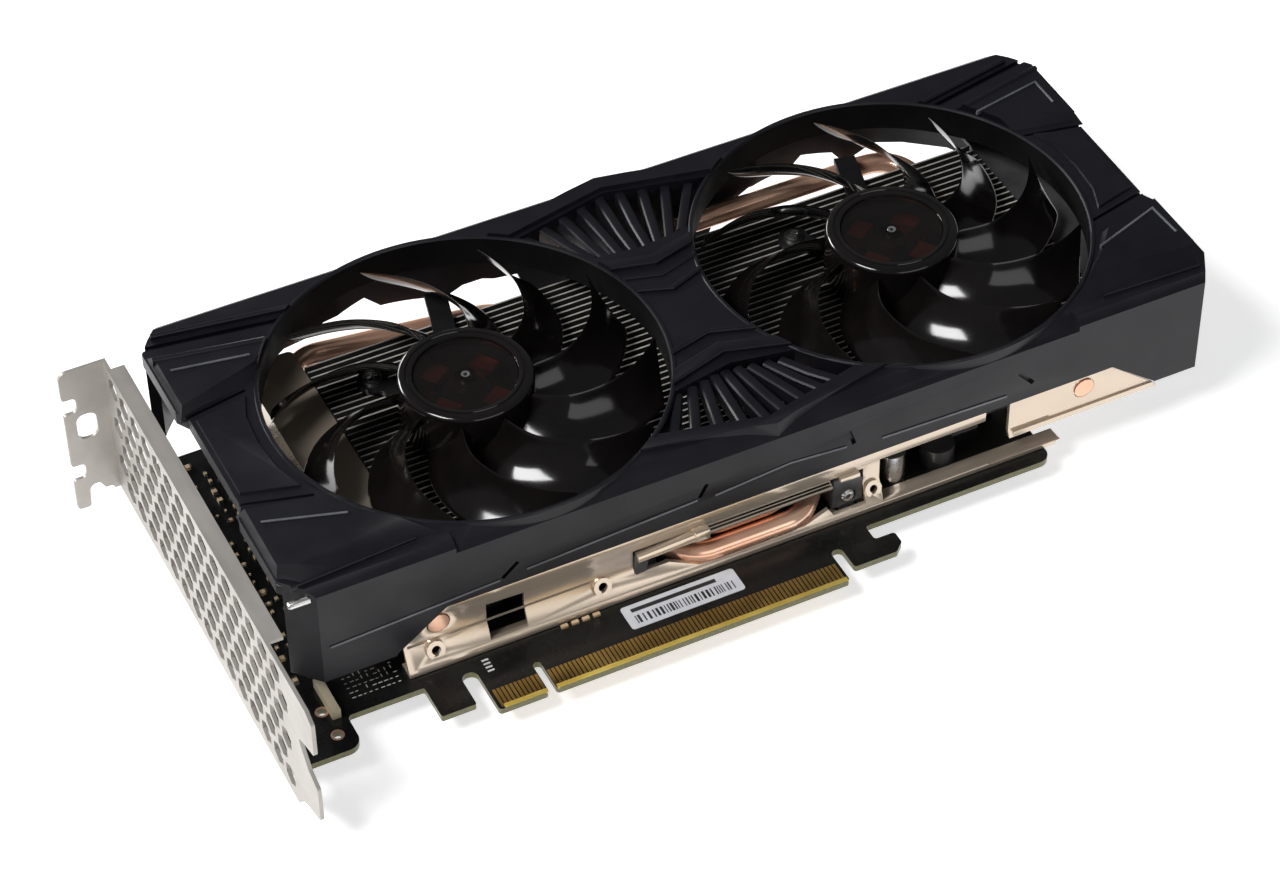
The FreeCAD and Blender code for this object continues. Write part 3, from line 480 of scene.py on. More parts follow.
def make_finishes():
    finishes = {name: plastic(name, *values).material for name, values in DULL.items()}
    for name, values in METALS.items():
        finishes[name] = brushed(Finish(name, metallic=1.0), *values)
    finishes["board_black"] = board_finish()
    finishes["polished_nickel"] = mirror_plate()
    finishes["label_white"] = label_finish()
    finishes["fin_aluminium"] = fin_finish()

    finishes["shroud_black"] = plastic(
        "shroud_black", (0.0046, 0.0046, 0.0070), (0.0066, 0.0065, 0.0093), 0.33, 0.46, 0.30, 2200.0,
        Specular_IOR_Level=0.32).material
    # a lighter black for the shroud's bevels and raised lines: a painted highlight on its edges
    finishes["shroud_painted_edge_highlight"] = plastic(
        "shroud_painted_edge_highlight", (0.055, 0.056, 0.068), (0.120, 0.122, 0.138), 0.30, 0.42, 0.2, 2200.0).material
    # a darker, matter black for the walls inside the fan openings: painted shade
    finishes["duct_painted_shade"] = plastic(
        "duct_painted_shade", (0.002, 0.002, 0.0024), (0.0035, 0.0035, 0.004), 0.5, 0.65,
        Specular_IOR_Level=0.15).material
    finishes["fan_smoke"] = plastic(
        "fan_smoke", (0.0035, 0.0028, 0.0028), (0.0065, 0.0050, 0.0048), 0.09, 0.15, 0.03, 500.0,
        Specular_IOR_Level=0.45).material

    finishes["bracket_nickel"] = brushed(
        Finish("bracket_nickel", metallic=0.6), (0.36, 0.335, 0.31), (0.43, 0.405, 0.375), 0.40, 0.52,
        (3, 0.4, 3))
    finishes["pipe_copper"] = brushed(
        Finish("pipe_copper", metallic=0.72), (0.95, 0.50, 0.33), (1.0, 0.66, 0.48), 0.17, 0.25,
        scale=900.0, streak=0.03, depth=0.00001)

    lead_in = Finish("lead_in_gold", metallic=0.45).colour((0.62, 0.43, 0.07), (0.80, 0.60, 0.14), 200.0)
    finishes["lead_in_gold"] = lead_in.roughness(0.3, 0.45).grain(900.0, 0.1).material
    ink = Finish("white_ink").colour((0.42, 0.42, 0.40), (0.62, 0.62, 0.60), 400.0)
    finishes["white_ink"] = ink.roughness(0.5, 0.7).grain(2000.0, 0.2).material
    cap = Finish("cap_smoke", Alpha=0.42, Specular_IOR_Level=0.4, Coat_Weight=0.2, Coat_Roughness=0.05)
    cap.colour((0.006, 0.005, 0.005), (0.010, 0.008, 0.007))
    finishes["cap_smoke"] = cap.roughness(0.08, 0.16).grain(700.0, 0.05).material
    return finishes


FINISHES = make_finishes()


def dress_nodes():
    """Give every CAD node the finish of its material slot; the right mount plate takes the dark boss finish
    instead, as painted shade where it sits in the dark.
    """
    slots = {node: entry["slot"] for entry in frame["record"]["materials"] for node in entry.get("nodes", [])}
    for name, node in NODES.items():
        slot = slots.get(name) or node.data.materials[0].name.split(".")[0]
        # painted shade: the right mount plate gets a dark finish because it lies in the dark
        if name == "right_mount_plate":
            slot = "boss_dark"
        node.data.materials.clear()
        node.data.materials.append(FINISHES[slot])


dress_nodes()

# ---------------------------------------------------------------- shroud
# the shell seen from above: (x, y)
OUTLINE = [(15, 33), (233, 33), (237.3, 40.5), (237.3, 60.5), (235.6, 64), (235.6, 94.5), (237.2, 97.5),
           (237.2, 117.5), (233.5, 122.5), (229.5, 126.5), (150, 126.2), (131, 125.9), (124.1, 127),
           (117, 125.9), (98, 126.2), (15.5, 126.4), (11.5, 121.8), (8.8, 118), (8.8, 97.5), (10.6, 94.5),
           (10.6, 63.5), (8.8, 60.5), (8.8, 40)]
# what is cut away under the near and the far wall: (x, z)
NEAR_EDGE = [(32, 9), (32, 11), (44, 20), (210, 20), (222, 10.6), (222, 9)]
FAR_EDGE = [(32, 9), (32, 10.5), (44, 20), (50, 21), (54, 24), (65, 26), (69, 21.8), (85, 19.8), (89, 21.5),
            (94, 21.5), (97, 20.3), (103, 19.5), (106, 11), (153, 11), (156, 19.5), (159, 19.5), (164, 22.3),
            (176, 22.3), (179, 25.3), (187, 23.8), (190, 20.2), (198, 23.4), (206, 20.5), (219, 13.8),
            (223, 10.5), (223, 9)]
WEDGES = [  # the four raised corner panels: outline at the deck, outline at the top
    ([(8.8, 62.5), (8.8, 39.6), (14, 35.2), (48, 35.4), (31.5, 51.2), (27, 58.5)],
     [(10.4, 60.8), (10.2, 42.2), (14, 40.8), (39, 43.4), (30.4, 51.8), (26.2, 57)]),
    ([(8.8, 117.5), (8.8, 94.2), (26, 97.2), (32, 103.5), (40, 110.5)],
     [(10.2, 113.8), (10.2, 96.6), (25.5, 101.2), (29.8, 102.6), (35.2, 108.6)]),
    ([(237.3, 61.5), (220, 57.6), (214.5, 50.5), (199, 35.4), (234, 35), (237.3, 40.2)],
     [(235.8, 59.8), (221, 55.8), (216, 50), (209, 44.2), (234, 42), (235.9, 43.2)]),
    ([(237.2, 117.5), (206.5, 110.5), (214, 102.5), (220.5, 96.5), (237.2, 93.3)],
     [(235.6, 114), (209.6, 108.3), (213.6, 102.8), (216, 101.2), (235.6, 96.8)]),
]
MID_PANELS = [  # the low panels between them
    [(11.2, 93), (11.2, 66.8), (25.2, 62.8), (22.6, 71), (21.9, 79.8), (22.6, 88.5), (25.2, 95.6)],
    [(235, 67), (235, 91.2), (223, 95.2), (225.6, 88.5), (226.3, 79.8), (225.6, 71), (223, 63.8)],
]
RIDGES = [  # route, width, top
    ([(9.6, 113.1), (35, 108.3)], 1.5, SUMMIT), ([(209.4, 107.9), (236, 113.8)], 1.3, SUMMIT),
    ([(12.4, 122), (47.6, 116.6)], 1.3, 39.2), ([(204, 115.8), (231.5, 121.3)], 1.3, 39.0),
    ([(109, 98.4), (123.9, 94.4), (138.5, 98.4)], 3.0, 39.3),
    ([(111, 93.4), (123.9, 89.6), (137, 93.4)], 1.0, 38.6),
    ([(113, 88.2), (123.9, 84.2), (134.5, 88.2)], 1.3, 38.9),
    ([(113.5, 64.9), (124, 67.6), (134.5, 64.2)], 1.3, 38.9),
    ([(109, 57), (124.1, 61.4), (139.5, 56.8)], 3.4, 39.2),
    ([(10.8, 36.6), (40, 38.4)], 0.9, 38.7), ([(209, 38.2), (234, 37.2)], 0.9, 38.7),
]
GROOVES = [  # route, width, floor
    ([(7, 119.8), (46, 113.9)], 1.4, 37.0),
    ([(204, 113.3), (239, 120.4)], 1.4, 37.0), ([(7, 65.2), (26, 60)], 0.9, 37.3),
    ([(218.5, 61), (239, 65.8)], 0.9, 37.3), ([(7, 93.7), (25, 96.9)], 0.8, 37.3),
    ([(217, 96), (239, 91.6)], 0.8, 37.3),
]
UPPER_V = [(95, 115.2), (CENTRE, 121.4), (153, 115.2), (156, 119.8), (131.5, 125.4), (CENTRE, 126.8),
           (116.5, 125.4), (91.5, 119.6)]
LOWER_V = [(92.5, 39.9), (98, 42.9), (CENTRE, 37.4), (150, 42.9), (156, 39.9), (130, 35), (CENTRE, 33.2),
           (118, 35)]
UPPER_RIBS = [  # the vents' ribs: (x, y)
    [(101, 114.6), (106, 106.5), (109, 101)], [(106.3, 116), (110, 106), (112, 101)],
    [(111.8, 118), (113.7, 106.5), (115, 100)], [(117, 119.8), (118, 107.5), (118.5, 99.3)],
    [(122.6, 121), (121.9, 107), (122, 99)], [(127.6, 119.4), (126, 108), (125.3, 99)],
    [(132.8, 118), (130, 107.5), (128, 99.5)], [(138, 116.6), (134, 107), (131, 100)],
    [(143.3, 115), (138, 106.5), (134.5, 101)],
]
LOWER_RIBS = [
    [(109, 52.5), (106, 47), (102.6, 41.2)], [(113, 53), (110, 46), (107, 39.4)],
    [(116.2, 53.6), (114.3, 45.5), (112.6, 38)], [(119, 54.2), (118.5, 45), (118, 36.8)],
    [(121.7, 54.5), (122.3, 45), (123.3, 36)], [(124.7, 54.2), (126.3, 45), (128, 36.8)],
    [(127.7, 53.6), (131, 45), (133.6, 38)], [(131.2, 53), (135, 45.5), (138.8, 39.4)],
    [(134.5, 52.3), (138.5, 46), (142.8, 40.8)],
]
RIB_SHIFT = Vector((0.7, 1.4))  # from where a rib is drawn, on the deck, to where it lies, below it
RIB_LOW, RIB_HIGH, RIB_WIDTH = 33.4, 37.2, 2.5
DECK_LINES = [  # raised lines on the wedges, coloured with the painted edge highlight: (x, y)
    [(12, 55.5), (29.6, 49.9)], [(12, 108), (29.5, 105)], [(216, 51), (233.5, 57), (234, 47.5)],
    [(215, 105.5), (233, 109), (233, 100.5)],
]
WALL_LINES = [  # raised lines on the near wall, coloured with the painted edge highlight: (x, z)
    [(17, 20.5), (56.6, 22.4)], [(63, 23), (104, 25.2)], [(108.4, 24.8), (127, 26.5), (141, 25.2)],
    [(150, 24), (182, 23)],
]
WALL_TICKS = [  # slots in the near wall at the ends of those lines: (x, z)
    [(57.2, 22.6), (61, 26)], [(104.6, 25.6), (106.4, 29)], [(143, 25.2), (141.5, 29.5)],
    [(188.8, 24.2), (185, 28.5)],
]
VENT_REACH = 46.6  # radius of the vents' ends, just inside the duct rings
NEAR_WALL, FAR_WALL = (20, 60), (80, 130)  # spans of y that hold each wall


def vent_hole(side):
    """The opening of one vent, between the two fan rings, the outer V and the inner chevron."""
    if side > 0:
        left = arc(LEFT_FAN, VENT_REACH, 50.6, 28.2, 8)
        right = arc(RIGHT_FAN, VENT_REACH, 151.8, 129.4, 8)
        return left + [(CENTRE, 100.4)] + right + [(CENTRE, 121.4)]
    left = arc(LEFT_FAN, VENT_REACH, -33.8, -51, 8)
    right = arc(RIGHT_FAN, VENT_REACH, -129, -146.2, 8)
    return left + [(CENTRE, 37.8)] + right + [(CENTRE, 56.6)]


def slope_cut(edge, low, inner, start, end):
    """What turns the deck's border into a slope: from (edge, low) up to (inner, DECK), between two x."""
    over = DECK + 6
    return prism([(edge, low), (inner, DECK + 0.01), (inner, over), (edge, over)], start, end, "x")


def duct_ring(fan):
    inner, outer = OPENING_RADIUS, OPENING_RADIUS + 1.2
    return lathe(fan, [(inner, DUCT_LOW), (outer, DUCT_LOW), (outer, DECK - 0.1), (inner + 0.9, DECK + 0.25),
                       (inner + 0.3, DECK + 0.25), (inner, DECK - 0.2)], 128)


def shape_deck(shell):
    """The corner wedges, panels, sloping borders, ridges and grooves."""
    for bottom, top in WEDGES:
        join(shell, frustum(bottom, top, DECK - SINK, WEDGE_TOP))
    for panel in MID_PANELS:
        join(shell, raised(panel, DECK - SINK, DECK + 0.5, 0.7))
    carve(shell, slope_cut(32, 34.4, 37, 47, 200), slope_cut(32, 35.8, 35.2, 7, 50),
          slope_cut(32, 35.8, 35, 198, 239), slope_cut(128, 35.4, 124.6, 7, 239))
    join(shell, raised(UPPER_V, 35.6, DECK + 1.1, 0.8), raised(LOWER_V, 34.2, DECK + 0.9, 0.7))
    for route, width, top in RIDGES:
        join(shell, bar(route, width, DECK - SINK, top))
    for route, width, floor in GROOVES:
        carve(shell, bar(route, width, floor, SUMMIT + 2))


def open_fans_and_vents(shell):
    for side in (1, -1):
        carve(shell, prism(vent_hole(side), 30, CLEAR))
    for fan in FANS.values():
        carve(shell, disc(fan, OPENING_RADIUS + 0.6, 20, CLEAR))
        join(shell, duct_ring(fan))
    for route in UPPER_RIBS + LOWER_RIBS:
        moved = [Vector(p) + RIB_SHIFT for p in route]
        join(shell, bar(moved, RIB_WIDTH, RIB_LOW, RIB_HIGH, shoulder=0.5))
    carve(shell, *[disc(fan, OPENING_RADIUS, 20, CLEAR) for fan in FANS.values()])


def open_walls(shell):
    carve(shell, prism(NEAR_EDGE, *NEAR_WALL, "y"), prism(FAR_EDGE, *FAR_WALL, "y"))
    carve(shell, *[bar(route, 1.0, 33.9, 31.5, "y", shoulder=-0.1) for route in WALL_TICKS])
    left_end = prism(rectangle(39, 9, 119, 34.4), 5, 15.5, "x")
    right_end = prism(rectangle(39, 9, 128, 28.5), 231, 240, "x")
    carve(shell, left_end, right_end)


def paint_faces(thing, index):
    for face in thing.data.polygons:
        face.material_index = index


def paint_duct_shade(shell, index):
    """The inner faces of both fan openings take a darker, matter black: painted shade inside the openings."""
    for face in shell.data.polygons:
        reach = min((Vector(face.center[:2]) - fan.xy).length for fan in FANS.values())
        if reach < OPENING_RADIUS + 0.4 and face.center.z < DECK - 0.25:
            face.material_index = index


def make_shroud():
    surfaces = [FINISHES[name] for name in ("shroud_black", "shroud_painted_edge_highlight", "duct_painted_shade")]
    # slot 1 holds the painted highlight for the bevels and the raised lines
    edge_index, duct_shade_index = 1, 2
    shell = prism(OUTLINE, WALL_LOW, DECK)
    carve(shell, prism(inset(OUTLINE, SHELL_WALL), 9.0, CEILING))
    shape_deck(shell)
    open_fans_and_vents(shell)
    open_walls(shell)
    for surface in surfaces:
        shell.data.materials.append(surface)
    # the bevels' faces take the painted edge highlight
    soften(shell, 0.24, edge_index=edge_index)
    lines = [bar(route, 0.3, 33.3, 32.8, "y", shoulder=-0.08) for route in WALL_LINES]
    lines += [bar(route, 0.55, WEDGE_TOP - 0.8, WEDGE_TOP + 0.35, shoulder=0.15) for route in DECK_LINES]
    # the raised lines take the same painted edge highlight
    for line in lines:
        paint_faces(line, edge_index)
    # the walls inside the fan openings take the painted shade of slot 2
    paint_duct_shade(shell, duct_shade_index)
    shroud = merge("shroud_shell", [shell] + lines)
    for surface in surfaces:
        shroud.data.materials.append(surface)
    settle(shroud, "shroud_shell", "shroud_black", crease=32)
    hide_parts("shroud")


def make_corner_pin():
    """The bright end of the shroud's corner pin, beside the bracket."""
    pin = lathe(Vector((0, 0)), [(0.01, 0), (0.95, 0), (0.95, 4.4), (0.75, 4.8), (0.01, 4.8)], 32)
    turn = Matrix.Translation((14.0, 34.8, 35.0)) @ Matrix.Rotation(math.radians(-90), 4, "Y")
    pin.data.transform(turn)
    settle(pin, "corner_pin", "screw_steel")


# ---------------------------------------------------------------- fans
BLADES = 10
BLADE_ROOT, BLADE_LENGTH, BLADE_CAMBER = 14.6, 29.1, 1.3
BLADE_STATIONS = ((BLADE_ROOT, 0.0, 8.0), (24.0, 10.0, 9.8), (34.0, 25.5, 12.4), (43.75, 43.5, 13.6))
BLADE_LOW, BLADE_HIGH = 27.1, 36.7
BLADE_ROWS, BLADE_COLUMNS = 12, 8
CAP_TOP = 38.0
FRAME_SCREWS = (42, 125, 250)
FRAME_SCREW_REACH = 25


def station(radius):
    """The lean (degrees) and the chord of the blade at a radius."""
    for (r0, lean0, chord0), (r1, lean1, chord1) in zip(BLADE_STATIONS, BLADE_STATIONS[1:]):
        if radius <= r1:
            share = (radius - r0) / (r1 - r0)
            return lean0 + (lean1 - lean0) * share, chord0 + (chord1 - chord0) * share
    return BLADE_STATIONS[-1][1:]


def blade_point(radius, share, side):
    """A point of the blade's skin: share runs from its low edge to its high edge, side is its face."""
    lean, chord = station(radius)
    reach = (radius - BLADE_ROOT) / BLADE_LENGTH
    angle = math.radians(lean)
    outward = Vector((math.cos(angle), math.sin(angle), 0))
    tangent = Vector((-outward.y, outward.x, 0))
    low = outward * radius - tangent * chord / 2 + Vector((0, 0, BLADE_LOW))
    high = outward * radius + tangent * chord / 2 + Vector((0, 0, BLADE_HIGH))
    normal = outward.cross((high - low).normalized()).normalized()
    belly = BLADE_CAMBER * 4 * share * (1 - share)
    thick = (1.2 - 0.4 * reach) * (1.0 - 0.7 * share)
    return low + (high - low) * share - normal * (belly - side * thick / 2)


def make_blade(turn):
    """One blade as a closed skin, smoothed, with its root on the hub's wall."""
    rows, columns = BLADE_ROWS, BLADE_COLUMNS
    radii = [BLADE_ROOT + BLADE_LENGTH * k / rows for k in range(rows + 1)]
    points = []
    for side in (1, -1):
        for radius in radii:
            points += [blade_point(radius, j / columns, side) for j in range(columns + 1)]
    width = columns + 1
    under = len(points) // 2
    faces = []
    for i in range(rows):
        for j in range(columns):
            a = i * width + j
            faces.append((a, a + 1, a + width + 1, a + width))
            faces.append((under + a, under + a + width, under + a + width + 1, under + a + 1))
    rim = list(range(width)) + [i * width + columns for i in range(1, rows + 1)]
    rim += [rows * width + j for j in range(columns - 1, -1, -1)]
    rim += [i * width for i in range(rows - 1, 0, -1)]
    for a, b in zip(rim, rim[1:] + rim[:1]):
        faces.append((a, b, under + b, under + a))
    blade = tidy_normals(new_object("blade", points, faces))
    step = blade.modifiers.new("smooth", "SUBSURF")
    step.levels = 2
    step.render_levels = 2
    bake(blade)
    blade.data.transform(Matrix.Rotation(math.radians(turn), 4, "Z"))
    return blade


def make_shaft_end(side):
    """The dished end of the shaft, shining in the middle of the dark cap."""
    profile = [(0.3, CAP_TOP - 0.2), (1.1, CAP_TOP - 0.2), (1.0, CAP_TOP + 0.06), (0.75, CAP_TOP + 0.1),
               (0.3, CAP_TOP - 0.1)]
    settle(lathe(FANS[side], profile, 32), f"{side}_shaft_end", "shaft_steel", f"{side}_fan")


def make_rotor(side):
    """Hub ring and blades in one moulding; the cap's node closes the hub's mouth."""
    fan = FANS[side]
    bore, shelf = 13.9, 37.2
    profile = [(bore, 26.3), (15.35, 26.3), (15.35, 37.3), (15.2, 37.9), (14.8, 38.35), (14.2, 38.55),
               (13.5, 38.55), (13.35, 38.3), (13.0, 38.3), (12.85, 38.55), (12.3, 38.55), (11.9, 38.35),
               (11.75, 38.0), (11.75, shelf), (bore, shelf)]
    hub = lathe(Vector((0, 0)), profile, 120)
    rotor = join(hub, *[make_blade(FAN_TURN[side] + 360 / BLADES * k) for k in range(BLADES)])
    carve(rotor, disc(Vector((0, 0)), bore, 20, shelf))
    rotor.data.transform(Matrix.Translation((fan.x, fan.y, 0)))
    settle(rotor, f"{side}_rotor_moulding", "fan_smoke", f"{side}_fan", crease=35)
    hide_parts(f"{side}_fan_rotor")


# ---------------------------------------------------------------- near plate and what sits in its window
PLATE_SECTION = [  # web, slanted skirt, foot and upper flange: (y, z)
    (33.5, 20.5), (33.5, 11.2), (30.9, 5.4), (30.9, 4.25), (35.2, 4.25), (35.2, 5.0), (31.8, 5.2),
    (34.5, 10.9), (34.5, 19.6), (41.3, 19.6), (41.3, 20.5),
]
PLATE_WINDOWS = [  # cut through web and skirt: (x, z)
    [(33, 11), (44, 21), (33, 21)],
    [(53.2, 6.6), (62.2, 6.6), (62.2, 15.4), (53.2, 15.8)],
    [(88.5, 9.4), (97, 9.4), (104, 6.5), (130, 6.5), (136.5, 8.2), (137.6, 6.6), (145.8, 6.6), (145.8, 15.8),
     (88.5, 15.8)],
    rectangle(150, 5.6, 177.2, 16.8),
    rectangle(177.2, 5.3, 183.4, 21),
    rectangle(196, 3, 228, 9.4),
    rectangle(183.0, 5.3, 197, 9.4),
    [(208.5, 21), (222.5, 9.4), (228, 9), (228, 21)],
]
CLIP_HOLES = [(40.5, 8.6, 1.3), (80.5, 9.2, 1.3), (147.9, 9.2, 1.2)]  # in the skirt: x, z, radius
PAD_HOLES = [(42.0, 15.5, 2.75), (203.0, 16.2, 2.75)]  # in the web, over the copper pads
SKIRT_TILT = math.radians(-20)


def clip_ring(x, z, radius):
    """The rolled collar round a hole in the slanted skirt."""
    angles = [math.radians(degrees) for degrees in range(-60, 241, 30)]
    reach = radius + 0.35
    route = [(x + reach * math.cos(angle), z + reach * math.sin(angle)) for angle in angles]
    ring = bar(route, 0.6, 33.4, 32.4, "y", shoulder=-0.15)
    onto_skirt = Matrix.Translation((0, 33.4, 8.9)) @ Matrix.Rotation(SKIRT_TILT, 4, "X")
    ring.data.transform(onto_skirt @ Matrix.Translation((0, -33.9, -8.9)))
    return ring


def make_near_plate():
    plate = prism(PLATE_SECTION, 33.6, 226.0, "x")
    carve(plate, *[prism(window, 30, 42, "y") for window in PLATE_WINDOWS])
    foot_corner = [(193.6, 30), (197, 30), (197, 33)]
    carve(plate, prism(foot_corner, 3, 5.25))
    for x, z, radius in CLIP_HOLES + PAD_HOLES:
        carve(plate, prism(arc(Vector((x, z)), radius, 0, 345, 23), 29, 37, "y"))
    for x in (92.0, 142.0):
        carve(plate, disc(Vector((x, 36.0)), 3.3, 3, 6, 32))
    soften(plate, 0.12)
    folds = [bar([(34.4, 11.2), (87, 11.2)], 0.35, 33.6, 33.35, "y", shoulder=-0.08),
             bar([(184, 11.2), (194, 11.2)], 0.35, 33.6, 33.35, "y", shoulder=-0.08),
             bar([(184.4, 10.2), (221.4, 10.2)], 0.8, 33.7, 32.7, "y", shoulder=-0.15)]
    clips = [clip_ring(*hole) for hole in CLIP_HOLES]
    piece = merge("near_plate", [plate] + folds + clips)
    settle(piece, "near_plate_pressing", "polished_nickel")
    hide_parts("near_side_plate")


def make_clamp():
    """The sprung bar over the bulging heat pipes, its bright left arm and the screw block at its right."""
    ribbed = [(32.4, 13.9), (32.6, 14.7), (33.0, 14.2), (33.2, 15.1), (33.6, 14.6), (33.8, 15.5), (34.4, 15.5),
              (34.7, 15.0), (34.7, 13.6)]
    bar_piece = soften(prism(ribbed, 103.4, 137.6, "x"), 0.05)
    settle(bar_piece, "clamp_ribbed_bar", "bar_grey")
    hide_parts("clamp_bar")
    arm = frustum([(32.0, 13.2), (34.4, 13.2), (34.4, 14.8), (32.2, 14.9)],
                  [(31.6, 13.9), (34.4, 13.9), (34.4, 15.9), (31.9, 15.9)], 89.2, 103.6, "x")
    knuckle = prism([(31.5, 13.6), (34.5, 13.6), (34.5, 16.3), (31.6, 16.2)], 103.0, 106.6, "x")
    cap = prism([(32.4, 14.8), (36.0, 14.8), (36.0, 15.9), (32.6, 15.9)], 139.6, 144.6, "x")
    bright = merge("arm", [soften(part, 0.2) for part in (arm, knuckle, cap)])
    settle(bright, "clamp_bright_arm", "polished_nickel")
    screw_x, screw_z = 142.0, 9.2
    foot = prism([(88.6, 8.8), (91.4, 9.2), (92.0, 12.6), (91.0, 14.6), (88.8, 14.2)], 32.6, 38, "y")
    block = prism([(137.8, 6.9), (145.6, 6.9), (145.6, 13.2), (144.6, 15.0), (138.2, 15.2)], 33.0, 38, "y")
    back = prism([(88.6, 7.8), (105, 7.4), (105, 15.2), (88.6, 15.2)], 37.6, 38.4, "y")
    carve(block, prism(arc(Vector((screw_x, screw_z)), 1.9, 0, 340, 17), 30, 34, "y"))
    settle(merge("feet", [soften(foot, 0.3), soften(block, 0.3), back]), "clamp_feet", "boss_dark")
    profile = [(0.35, 0), (1.7, 0), (1.7, 0.7), (1.3, 1.1), (0.7, 1.15), (0.35, 0.6)]
    screw = lathe(Vector((0, 0)), profile, 40)
    facing_near = Matrix.Rotation(math.radians(90), 4, "X")
    screw.data.transform(Matrix.Translation((screw_x, 34.1, screw_z)) @ facing_near)
    settle(screw, "clamp_screw", "screw_steel")


# ---------------------------------------------------------------- board details
def make_lead_in():
    """The plain gold strips behind the contacts, on either side of the key notch."""
    spans = ((48.6, 58.9), (61.1, 132.2))
    strips = [prism(rectangle(low, 14.42, high, 15.7), BOARD_SKIN - 0.3, BOARD_SKIN + 0.05)
              for low, high in spans]
    gold = merge("strips", [soften(strip, 0.12) for strip in strips])
    settle(gold, "finger_lead_in", "lead_in_gold")


def make_board_marks(chance):
    """Specks of white print: a scattered block beside the bracket, and a short stack of dashes."""
    marks = []
    for row in range(5):
        for column in range(9):
            x, y = 20.4 + column * 1.35, 31.6 + row * 1.5
            if chance.random() < 0.8:
                wide, deep = chance.choice(((0.9, 0.22), (0.22, 0.9), (0.6, 0.2)))
                marks.append(rectangle(x, y, x + wide, y + deep))
    for k in range(4):
        y = 25.4 + k * 1.1
        marks.append(rectangle(49.6, y, 51.2, y + 0.5))
    printed = [prism(mark, BOARD_SKIN, BOARD_SKIN + 0.03) for mark in marks]
    settle(merge("marks", printed), "board_marks", "white_ink")


def make_label_bars(chance):
    """Generic bars on the label: one row of upright bars under one long bar."""
    low, high = (datum(corner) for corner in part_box("board_label"))
    bars, x = [], low.x + 2.0
    while x < high.x - 2.0:
        wide = chance.choice((0.25, 0.35, 0.6))
        bars.append(rectangle(x, low.y + 1.2, x + wide, low.y + 3.6))
        x += wide + chance.choice((0.3, 0.45, 0.7))
    bars.append(rectangle(low.x + 2, high.y - 2.3, high.x - 5, high.y - 1.2))
    printed = [prism(outline, high.z, high.z + 0.02) for outline in bars]
    settle(merge("bars", printed), "label_bars", "chip_black")


def make_hole_rings():
    """Copper collars round the two plated holes beside the bracket."""
    low, high = BOARD_SKIN - 0.1, BOARD_SKIN + 0.05
    section = [(1.0, low), (1.55, low), (1.5, high), (1.05, high)]
    rings = [lathe(Vector(place), section, 32) for place in ((13.0, 31.0), (13.5, 23.5))]
    settle(merge("rings", rings), "plated_hole_rings", "pipe_copper")


def surface_part(x, y, size, upright):
    """Outlines of one small part: its ceramic body and its two tinned ends."""
    long, wide = size
    trim = 0.22 * long
    if upright:
        x0, x1, y0, y1 = x - wide / 2, x + wide / 2, y - long / 2, y + long / 2
        ends = [rectangle(x0, y0, x1, y0 + trim), rectangle(x0, y1 - trim, x1, y1)]
        return rectangle(x0, y0 + trim, x1, y1 - trim), ends
    x0, x1, y0, y1 = x - long / 2, x + long / 2, y - wide / 2, y + wide / 2
    ends = [rectangle(x0, y0, x0 + trim, y1), rectangle(x1 - trim, y0, x1, y1)]
    return rectangle(x0 + trim, y0, x1 - trim, y1), ends


def make_surface_parts(chance):
    """Small resistors and capacitors in a loose grid between the bracket and the cooler."""
    bodies, ends = [], []
    for row in range(22):
        for column in range(7):
            x = 11.5 + column * 3.0 + chance.uniform(-0.5, 0.5)
            y = 42 + row * 3.4 + chance.uniform(-0.6, 0.6)
            if chance.random() < 0.25:
                continue
            long, wide, tall = chance.choice(((1.6, 0.8, 0.5), (1.0, 0.5, 0.4), (2.0, 1.2, 0.8)))
            upright = chance.random() >= 0.5
            body, caps = surface_part(x, y, (long, wide), upright)
            bodies.append(raised(body, BOARD_SKIN, BOARD_SKIN + tall, 0.06))
            ends += [raised(cap, BOARD_SKIN, BOARD_SKIN + tall + 0.04, 0.05) for cap in caps]
    settle(merge("bodies", bodies), "surface_part_bodies", "ceramic_tan")
    settle(merge("ends", ends), "surface_part_ends", "pin_tin")


def make_board_details():
    chance = random.Random(7)
    make_lead_in()
    make_board_marks(chance)
    make_label_bars(chance)
    make_hole_rings()
    make_surface_parts(chance)


def make_screw_heads():
    """Cross-recessed heads on the screws of both fan frames."""
    low, high = 25.3, 25.9
    profile = [(0.01, low), (2.3, low), (2.25, high - 0.25), (1.6, high + 0.15), (0.01, high + 0.3)]
    for side, fan in FANS.items():
        heads = []
        for angle in (math.radians(degrees) for degrees in FRAME_SCREWS):
            place = fan.xy + FRAME_SCREW_REACH * Vector((math.cos(angle), math.sin(angle)))
            cross = [prism(rectangle(place.x - a, place.y - b, place.x + a, place.y + b), high - 0.3, high + 1)
                     for a, b in ((1.15, 0.25), (0.25, 1.15))]
            heads.append(carve(lathe(place, profile, 40), *cross))
        settle(merge("heads", heads), f"{side}_fan_screw_heads", "screw_steel")


make_shroud()
for fan_side in FANS:
    make_rotor(fan_side)
    make_shaft_end(fan_side)
make_corner_pin()
make_near_plate()
make_clamp()
make_board_details()
make_screw_heads()


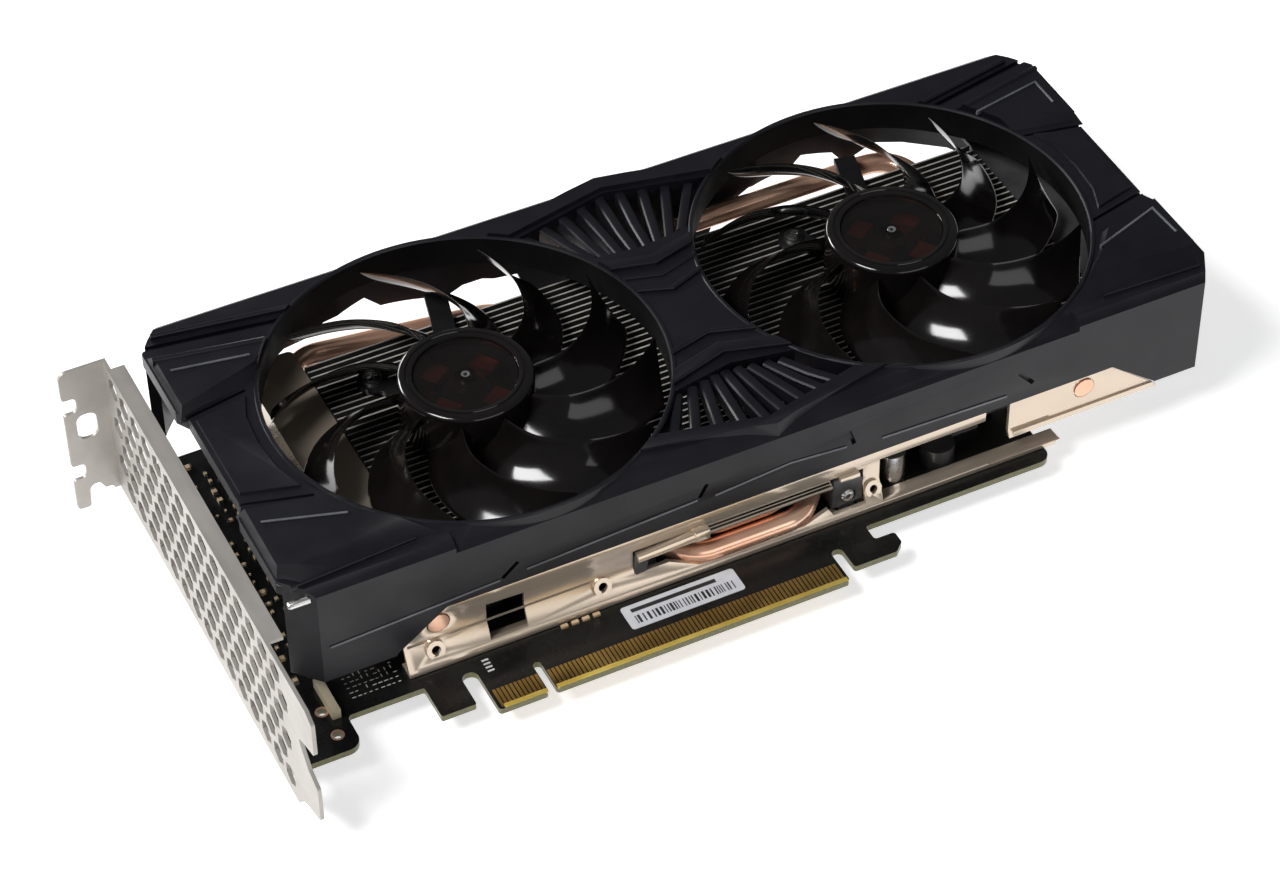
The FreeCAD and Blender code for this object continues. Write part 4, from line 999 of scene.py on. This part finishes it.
# ---------------------------------------------------------------- floor, light and camera
def make_floor():
    reach, gap = 4.0, 0.0002
    corners = [(x, y, 0) for x, y in rectangle(-reach, -reach, reach, reach)]
    floor = new_object("floor", corners, [(0, 1, 2, 3)])
    floor.location.z = CAD_BOX[0][2] - gap
    paper = Finish("floor_paper", Emission_Color=(1, 1, 1, 1), Emission_Strength=0.62, Specular_IOR_Level=0.1)
    paper.colour((0.76, 0.76, 0.76), (0.80, 0.80, 0.80), 3.0).roughness(0.7, 0.9, 5.0)
    floor.data.materials.append(paper.material)


def softbox(name, direction, distance, size, power):
    """A rectangular lamp that points at the middle of the row's frame."""
    light = bpy.data.lights.new(name, "AREA")
    light.shape = "RECTANGLE"
    light.size, light.size_y = size
    light.energy = power
    lamp = bpy.data.objects.new(name, light)
    place = Vector(direction).normalized() * distance
    lamp.location = place
    lamp.rotation_euler = place.to_track_quat("Z", "Y").to_euler()
    bpy.context.scene.collection.objects.link(lamp)


def make_light():
    world = bpy.data.worlds.new("studio")
    world.use_nodes = True
    background = world.node_tree.nodes["Background"]
    background.inputs["Color"].default_value = (0.95, 0.97, 1.0, 1.0)
    background.inputs["Strength"].default_value = 0.15
    bpy.context.scene.world = world
    softbox("key", (-0.59, -0.11, 0.80), 1.5, (0.60, 0.44), 20.0)
    softbox("back_left", (-0.50, 0.79, 0.36), 1.6, (0.52, 0.40), 16.0)
    softbox("back", (-0.20, 0.98, 0.12), 1.7, (0.60, 0.30), 7.0)
    softbox("front", (0.15, -0.95, 0.45), 1.8, (1.4, 0.7), 4.8)
    bpy.context.scene.view_settings.view_transform = "Standard"


CAMERA_PLACE = (-0.27327, -0.54870, 0.61097)
CAMERA_RIGHT = Vector((0.896399, -0.443143, -0.009639))
CAMERA_BACK = Vector((-0.312007, -0.646283, 0.696398))


def make_camera():
    camera = bpy.data.cameras.new("camera")
    camera.sensor_width = 36.0
    camera.lens = 106.28
    camera.clip_start = 0.01
    holder = bpy.data.objects.new("camera", camera)
    turn = Matrix((CAMERA_RIGHT, CAMERA_BACK.cross(CAMERA_RIGHT), CAMERA_BACK)).transposed().to_4x4()
    holder.matrix_world = Matrix.Translation(CAMERA_PLACE) @ turn
    bpy.context.scene.collection.objects.link(holder)
    bpy.context.scene.camera = holder


make_floor()
make_light()
make_camera()
